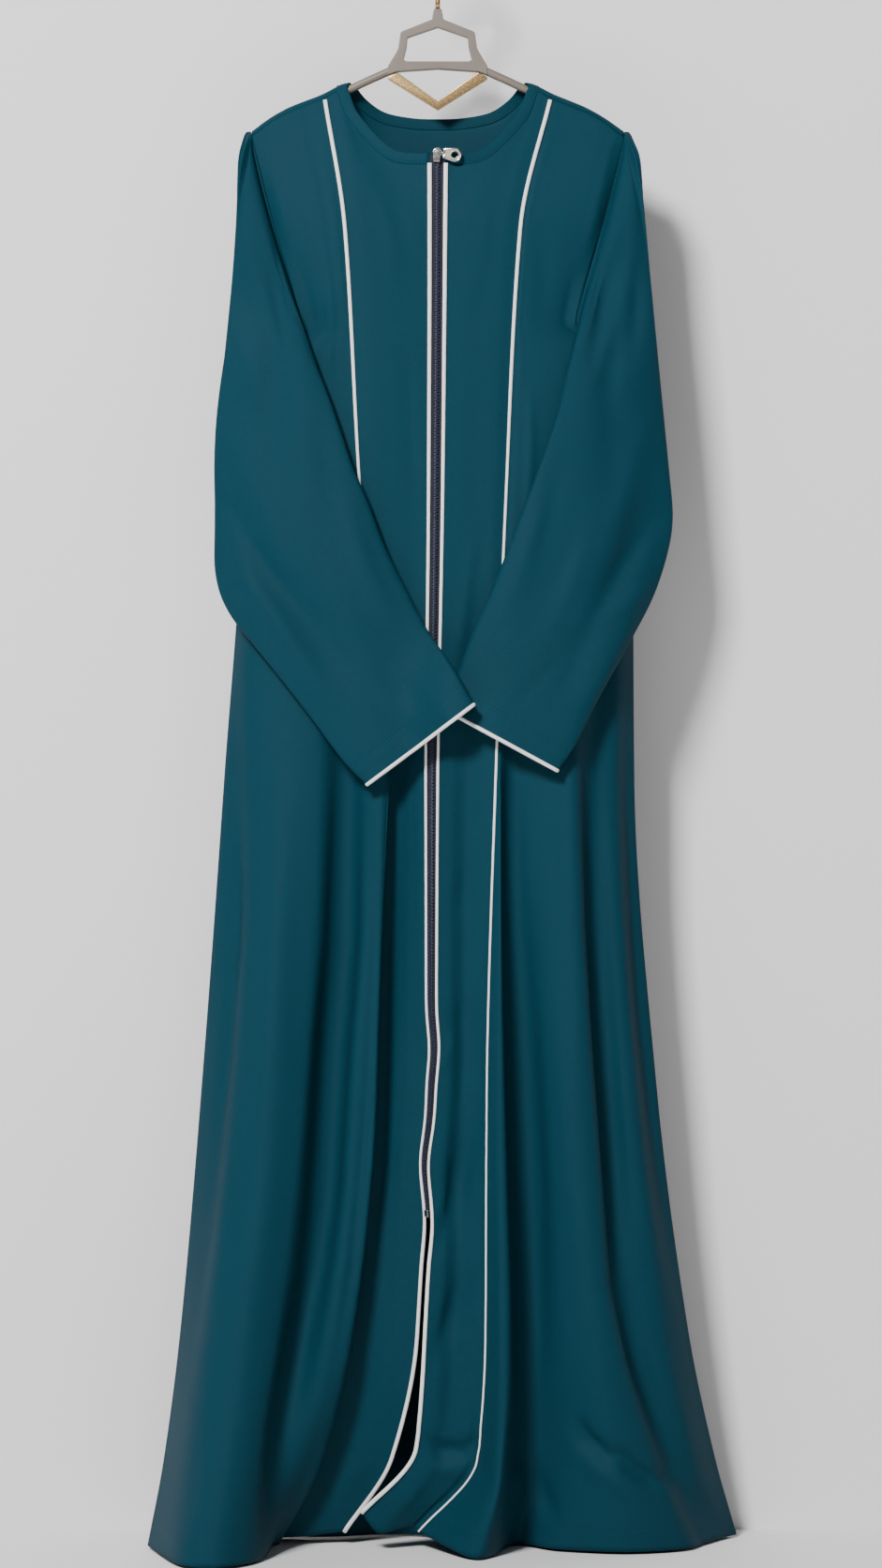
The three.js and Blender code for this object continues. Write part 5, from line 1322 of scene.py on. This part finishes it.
class Tree:
    """A new material's nodes."""

    def __init__(self, name):
        self.material = bpy.data.materials.new(name)
        self.material.use_nodes = True
        self.nodes = self.material.node_tree.nodes
        self.links = self.material.node_tree.links
        self.shader = self.nodes["Principled BSDF"]

    def node(self, kind, settings=None, values=None, out=0):
        made = self.nodes.new(kind)
        for key, value in (settings or {}).items():
            setattr(made, key, value)
        for key, value in (values or {}).items():
            if isinstance(value, Wire):
                self.links.new(value.socket, made.inputs[key])
            else:
                made.inputs[key].default_value = value
        return Wire(self, made.outputs[out])

    def places(self):
        return self.node("ShaderNodeTexCoord", out="Object")

    def flat(self):
        """The two flat places of the cloth, in millimetres: across, and up from the hem."""
        uv = self.node("ShaderNodeUVMap", {"uv_map": "cloth"})
        split = self.nodes.new("ShaderNodeSeparateXYZ")
        self.links.new(uv.socket, split.inputs[0])
        return Wire(self, split.outputs[0]), Wire(self, split.outputs[1])

    def noise(self, scale, detail=3, where=None):
        values = {"Vector": where or self.places(), "Scale": scale, "Detail": detail, "Roughness": 0.5}
        return self.node("ShaderNodeTexNoise", None, values, out="Fac")

    def blend(self, factor, one, two):
        settings = {"data_type": "RGBA", "blend_type": "MIX"}
        return self.node("ShaderNodeMix", settings, {"Factor": factor, 6: one, 7: two}, out=2)

    def brushed(self, scale, detail):
        """Noise drawn out by its own scale along each axis."""
        stretch = self.node("ShaderNodeMapping", None, {"Vector": self.places(), "Scale": scale})
        return self.noise(1, detail, stretch)

    def bump(self, height, distance, strength):
        values = {"Height": height, "Distance": distance, "Strength": strength}
        return self.node("ShaderNodeBump", None, values)

    def set(self, **values):
        for key, value in values.items():
            socket = self.shader.inputs[key.replace("_", " ")]
            if isinstance(value, Wire):
                self.links.new(value.socket, socket)
            else:
                socket.default_value = value
        return self.material


def rgb(red, green, blue):
    """A colour given as it looks on screen, 0 to 255."""
    return tuple(((c / 255) / 12.92 if c <= 10.3 else ((c / 255 + 0.055) / 1.055) ** 2.4)
                 for c in (red, green, blue)) + (1.0,)


TEAL_DEEP = rgb(9, 41, 52)
TEAL_LIGHT = rgb(18, 61, 75)
# Painted shade: the dark of the stitch groove, laid into the cloth's colour
TEAL_GROOVE_PAINTED_SHADE = rgb(4, 26, 36)
TEAL_THREAD = rgb(26, 84, 100)
THREADS = 7.4
STITCH = 3.4
BAND_STITCH_LINE = 1.6


def cloth_material(name, line):
    """The weave, with a line of stitches in a groove darkened by painted shade, at a set distance from the
    hem.
    """
    tree = Tree(name)
    u, v = tree.flat()
    weave = (u * THREADS).sine() * (v * THREADS).sine()
    fine = tree.noise(900, 2)
    slubs = tree.noise(160, 4)
    broad = tree.noise(7, 3)
    shade = tree.blend(fine * 0.6 + slubs * 0.3 + broad * 0.1, TEAL_DEEP, TEAL_LIGHT)
    from_line = (v - line).size()
    thread = (from_line < 0.5) * (u.wrapped(STITCH) < STITCH * 0.7)
    # Painted shade: a darker band of colour along the stitch groove
    shade = tree.blend((from_line < 0.9) * 0.45, shade, TEAL_GROOVE_PAINTED_SHADE)
    shade = tree.blend(thread * 0.5, shade, TEAL_THREAD)
    height = weave * 0.35 + fine * 0.8 + slubs * 0.4 - thread * 2.4 - (from_line < 1.1) * 0.9
    return tree.set(Base_Color=shade, Roughness=slubs * 0.12 + 0.55, Normal=tree.bump(height, 0.00022, 0.55),
                    Sheen_Weight=0.0, Specular_IOR_Level=0.07)


def piping_material(name):
    tree = Tree(name)
    u, v = tree.flat()
    twist = (v * 4.2 + u * 6.283).sine()
    fibre = tree.noise(700, 3)
    shade = tree.blend(tree.noise(45, 3), rgb(226, 226, 224), rgb(244, 244, 242))
    normal = tree.bump(twist * 0.5 + fibre, 0.00018, 0.6)
    return tree.set(Base_Color=shade, Roughness=fibre * 0.15 + 0.5, Normal=normal, Sheen_Weight=0.2,
                    Sheen_Roughness=0.4)


def tape_material(name):
    tree = Tree(name)
    u, v = tree.flat()
    ribs = (u * 6.8).sine() + (v * 6.8).sine() * 0.6
    shade = tree.blend(tree.noise(60, 3), rgb(14, 16, 30), rgb(22, 25, 44))
    normal = tree.bump(ribs, 0.00016, 0.7)
    return tree.set(Base_Color=shade, Roughness=tree.noise(300, 2) * 0.1 + 0.68, Normal=normal)


def coil_material(name):
    tree = Tree(name)
    shade = tree.blend(tree.noise(240, 2), rgb(24, 28, 50), rgb(40, 46, 74))
    return tree.set(Base_Color=shade, Roughness=tree.noise(120, 2) * 0.1 + 0.32,
                    Normal=tree.bump(tree.noise(900, 2), 0.0001, 0.3))


def metal_material(name, dark, light, rough, brushed):
    tree = Tree(name)
    grain = tree.brushed(brushed, 3)
    shade = tree.blend(grain, dark, light)
    normal = tree.bump(grain, 0.00006, 0.35)
    return tree.set(Base_Color=shade, Metallic=1.0, Roughness=grain * 0.14 + rough, Normal=normal)


def inlay_material(name):
    tree = Tree(name)
    grain = tree.brushed((400, 400, 4000), 4)
    shade = tree.blend(grain, rgb(142, 128, 112), rgb(178, 164, 148))
    return tree.set(Base_Color=shade, Metallic=0.7, Roughness=grain * 0.2 + 0.38,
                    Normal=tree.bump(grain, 0.00008, 0.4))


def plastic_material(name):
    tree = Tree(name)
    grain = tree.noise(420, 3)
    shade = tree.blend(tree.noise(18, 3), rgb(98, 89, 80), rgb(116, 106, 96))
    return tree.set(Base_Color=shade, Roughness=grain * 0.14 + 0.4, Normal=tree.bump(grain, 0.00012, 0.35),
                    Specular_IOR_Level=0.5)


panel_cloth = cloth_material("teal_weave_panel", HEM_TURN)
band_cloth = cloth_material("teal_weave_band", BAND_STITCH_LINE)
white_piping = piping_material("white_bias_piping")
tape_weave = tape_material("navy_tape_weave")
coil_nylon = coil_material("navy_coil")
silver = metal_material("silver_plating", rgb(168, 168, 166), rgb(226, 226, 224), 0.16, (300, 300, 1800))
gold = metal_material("pale_gold_plating", rgb(168, 134, 88), rgb(214, 182, 132), 0.2, (500, 500, 500))
taupe_inlay = inlay_material("taupe_brushed_inlay")
taupe = plastic_material("taupe_moulded")

CLOTH_NODES = ["side_left", "front_left", "front_right", "side_right", "back", "sleeve_left", "sleeve_right"]
PIPING_NODES = [
    f"{seam}_piping_{side}" for seam in ("princess", "front", "cuff") for side in ("left", "right")
]
FINISHES = [
    (panel_cloth, "cloth", CLOTH_NODES),
    (band_cloth, "cloth", ["neckband"]),
    (white_piping, "piping", PIPING_NODES),
    (tape_weave, "zip_tape", ["zip_tape_left", "zip_tape_right"]),
    (coil_nylon, "zip_coil", ["zip_coil"]),
    (silver, "zip_metal", ["zip_stop", "zip_slider", "zip_link", "zip_pull_tab"]),
    (taupe, "hanger_plastic", ["hanger_frame"]),
    (gold, "hanger_gold", ["hanger_brace", "hanger_hook"]),
]
RIDES = {"zip_link": "zip_link", "zip_pull_tab": "zip_pull_tab"}
for material, slot, nodes in FINISHES:
    for node in nodes:
        piece = pieces[node]
        piece.data.materials.append(material)
        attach(piece, RIDES.get(node, "garment"))
        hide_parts(node)
tab_inlay.data.materials.append(taupe_inlay)
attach(tab_inlay, "zip_pull_tab")


# Room, light and camera
def matte(name, colour, rough):
    tree = Tree(name)
    shade = tree.blend(tree.noise(3, 2), colour, tuple(c * 0.97 for c in colour[:3]) + (1.0,))
    return tree.set(Base_Color=shade, Roughness=rough)


FLOOR_Z = -1617
WALL_Y = 120
ROOM_HALF, ROOM_FRONT, ROOM_TOP = 6000, -7000, 2500


def flat_square(name, near, far):
    """A square of the room across its whole width, between two lines given as (y, z)."""
    corners = [(-ROOM_HALF, *near), (ROOM_HALF, *near), (ROOM_HALF, *far), (-ROOM_HALF, *far)]
    return mesh_object(name, corners, [(0, 1, 2, 3)])


floor = flat_square("room_floor", (ROOM_FRONT, FLOOR_Z), (WALL_Y, FLOOR_Z))
wall = flat_square("room_wall", (WALL_Y, FLOOR_Z), (WALL_Y, ROOM_TOP))
floor.data.materials.append(matte("pale_floor", rgb(240, 239, 239), 0.7))
wall.data.materials.append(matte("pale_wall", rgb(232, 230, 231), 0.85))


def area_light(name, place, target, size, power):
    data = bpy.data.lights.new(name, "AREA")
    data.shape = "RECTANGLE"
    data.size = data.size_y = size
    data.energy = power
    lamp = placed(name, data)
    lamp.location = place
    direction = np.array(target) - np.array(place)
    lamp.rotation_euler = Vector(direction).to_track_quat("-Z", "Y").to_euler()


area_light("key", (-1.6, -3.9, 1.9), (0, 0, -0.85), 0.9, 390)
area_light("fill", (1.8, -4.4, 0.4), (0, 0, -0.9), 1.6, 12)

world = bpy.data.worlds.new("studio")
world.use_nodes = True
sky = world.node_tree.nodes["Background"].inputs
sky["Color"].default_value = (0.86, 0.87, 0.9, 1)
sky["Strength"].default_value = 0.08
bpy.context.scene.world = world

CAMERA_X, CAMERA_Z, CAMERA_DISTANCE = 3.3, -851.25, 4200
MM_PER_PIXEL = 0.9375
PICTURE_HEIGHT = 1672 * MM_PER_PIXEL
camera = bpy.data.cameras.new("camera")
camera.sensor_fit = "VERTICAL"
camera.angle = 2 * math.atan(PICTURE_HEIGHT / 2 / CAMERA_DISTANCE)
camera.clip_end = 50
eye = placed("camera", camera)
eye.location = (CAMERA_X * MM, -CAMERA_DISTANCE * MM, CAMERA_Z * MM)
eye.rotation_euler = (math.pi / 2, 0, 0)
bpy.context.scene.camera = eye
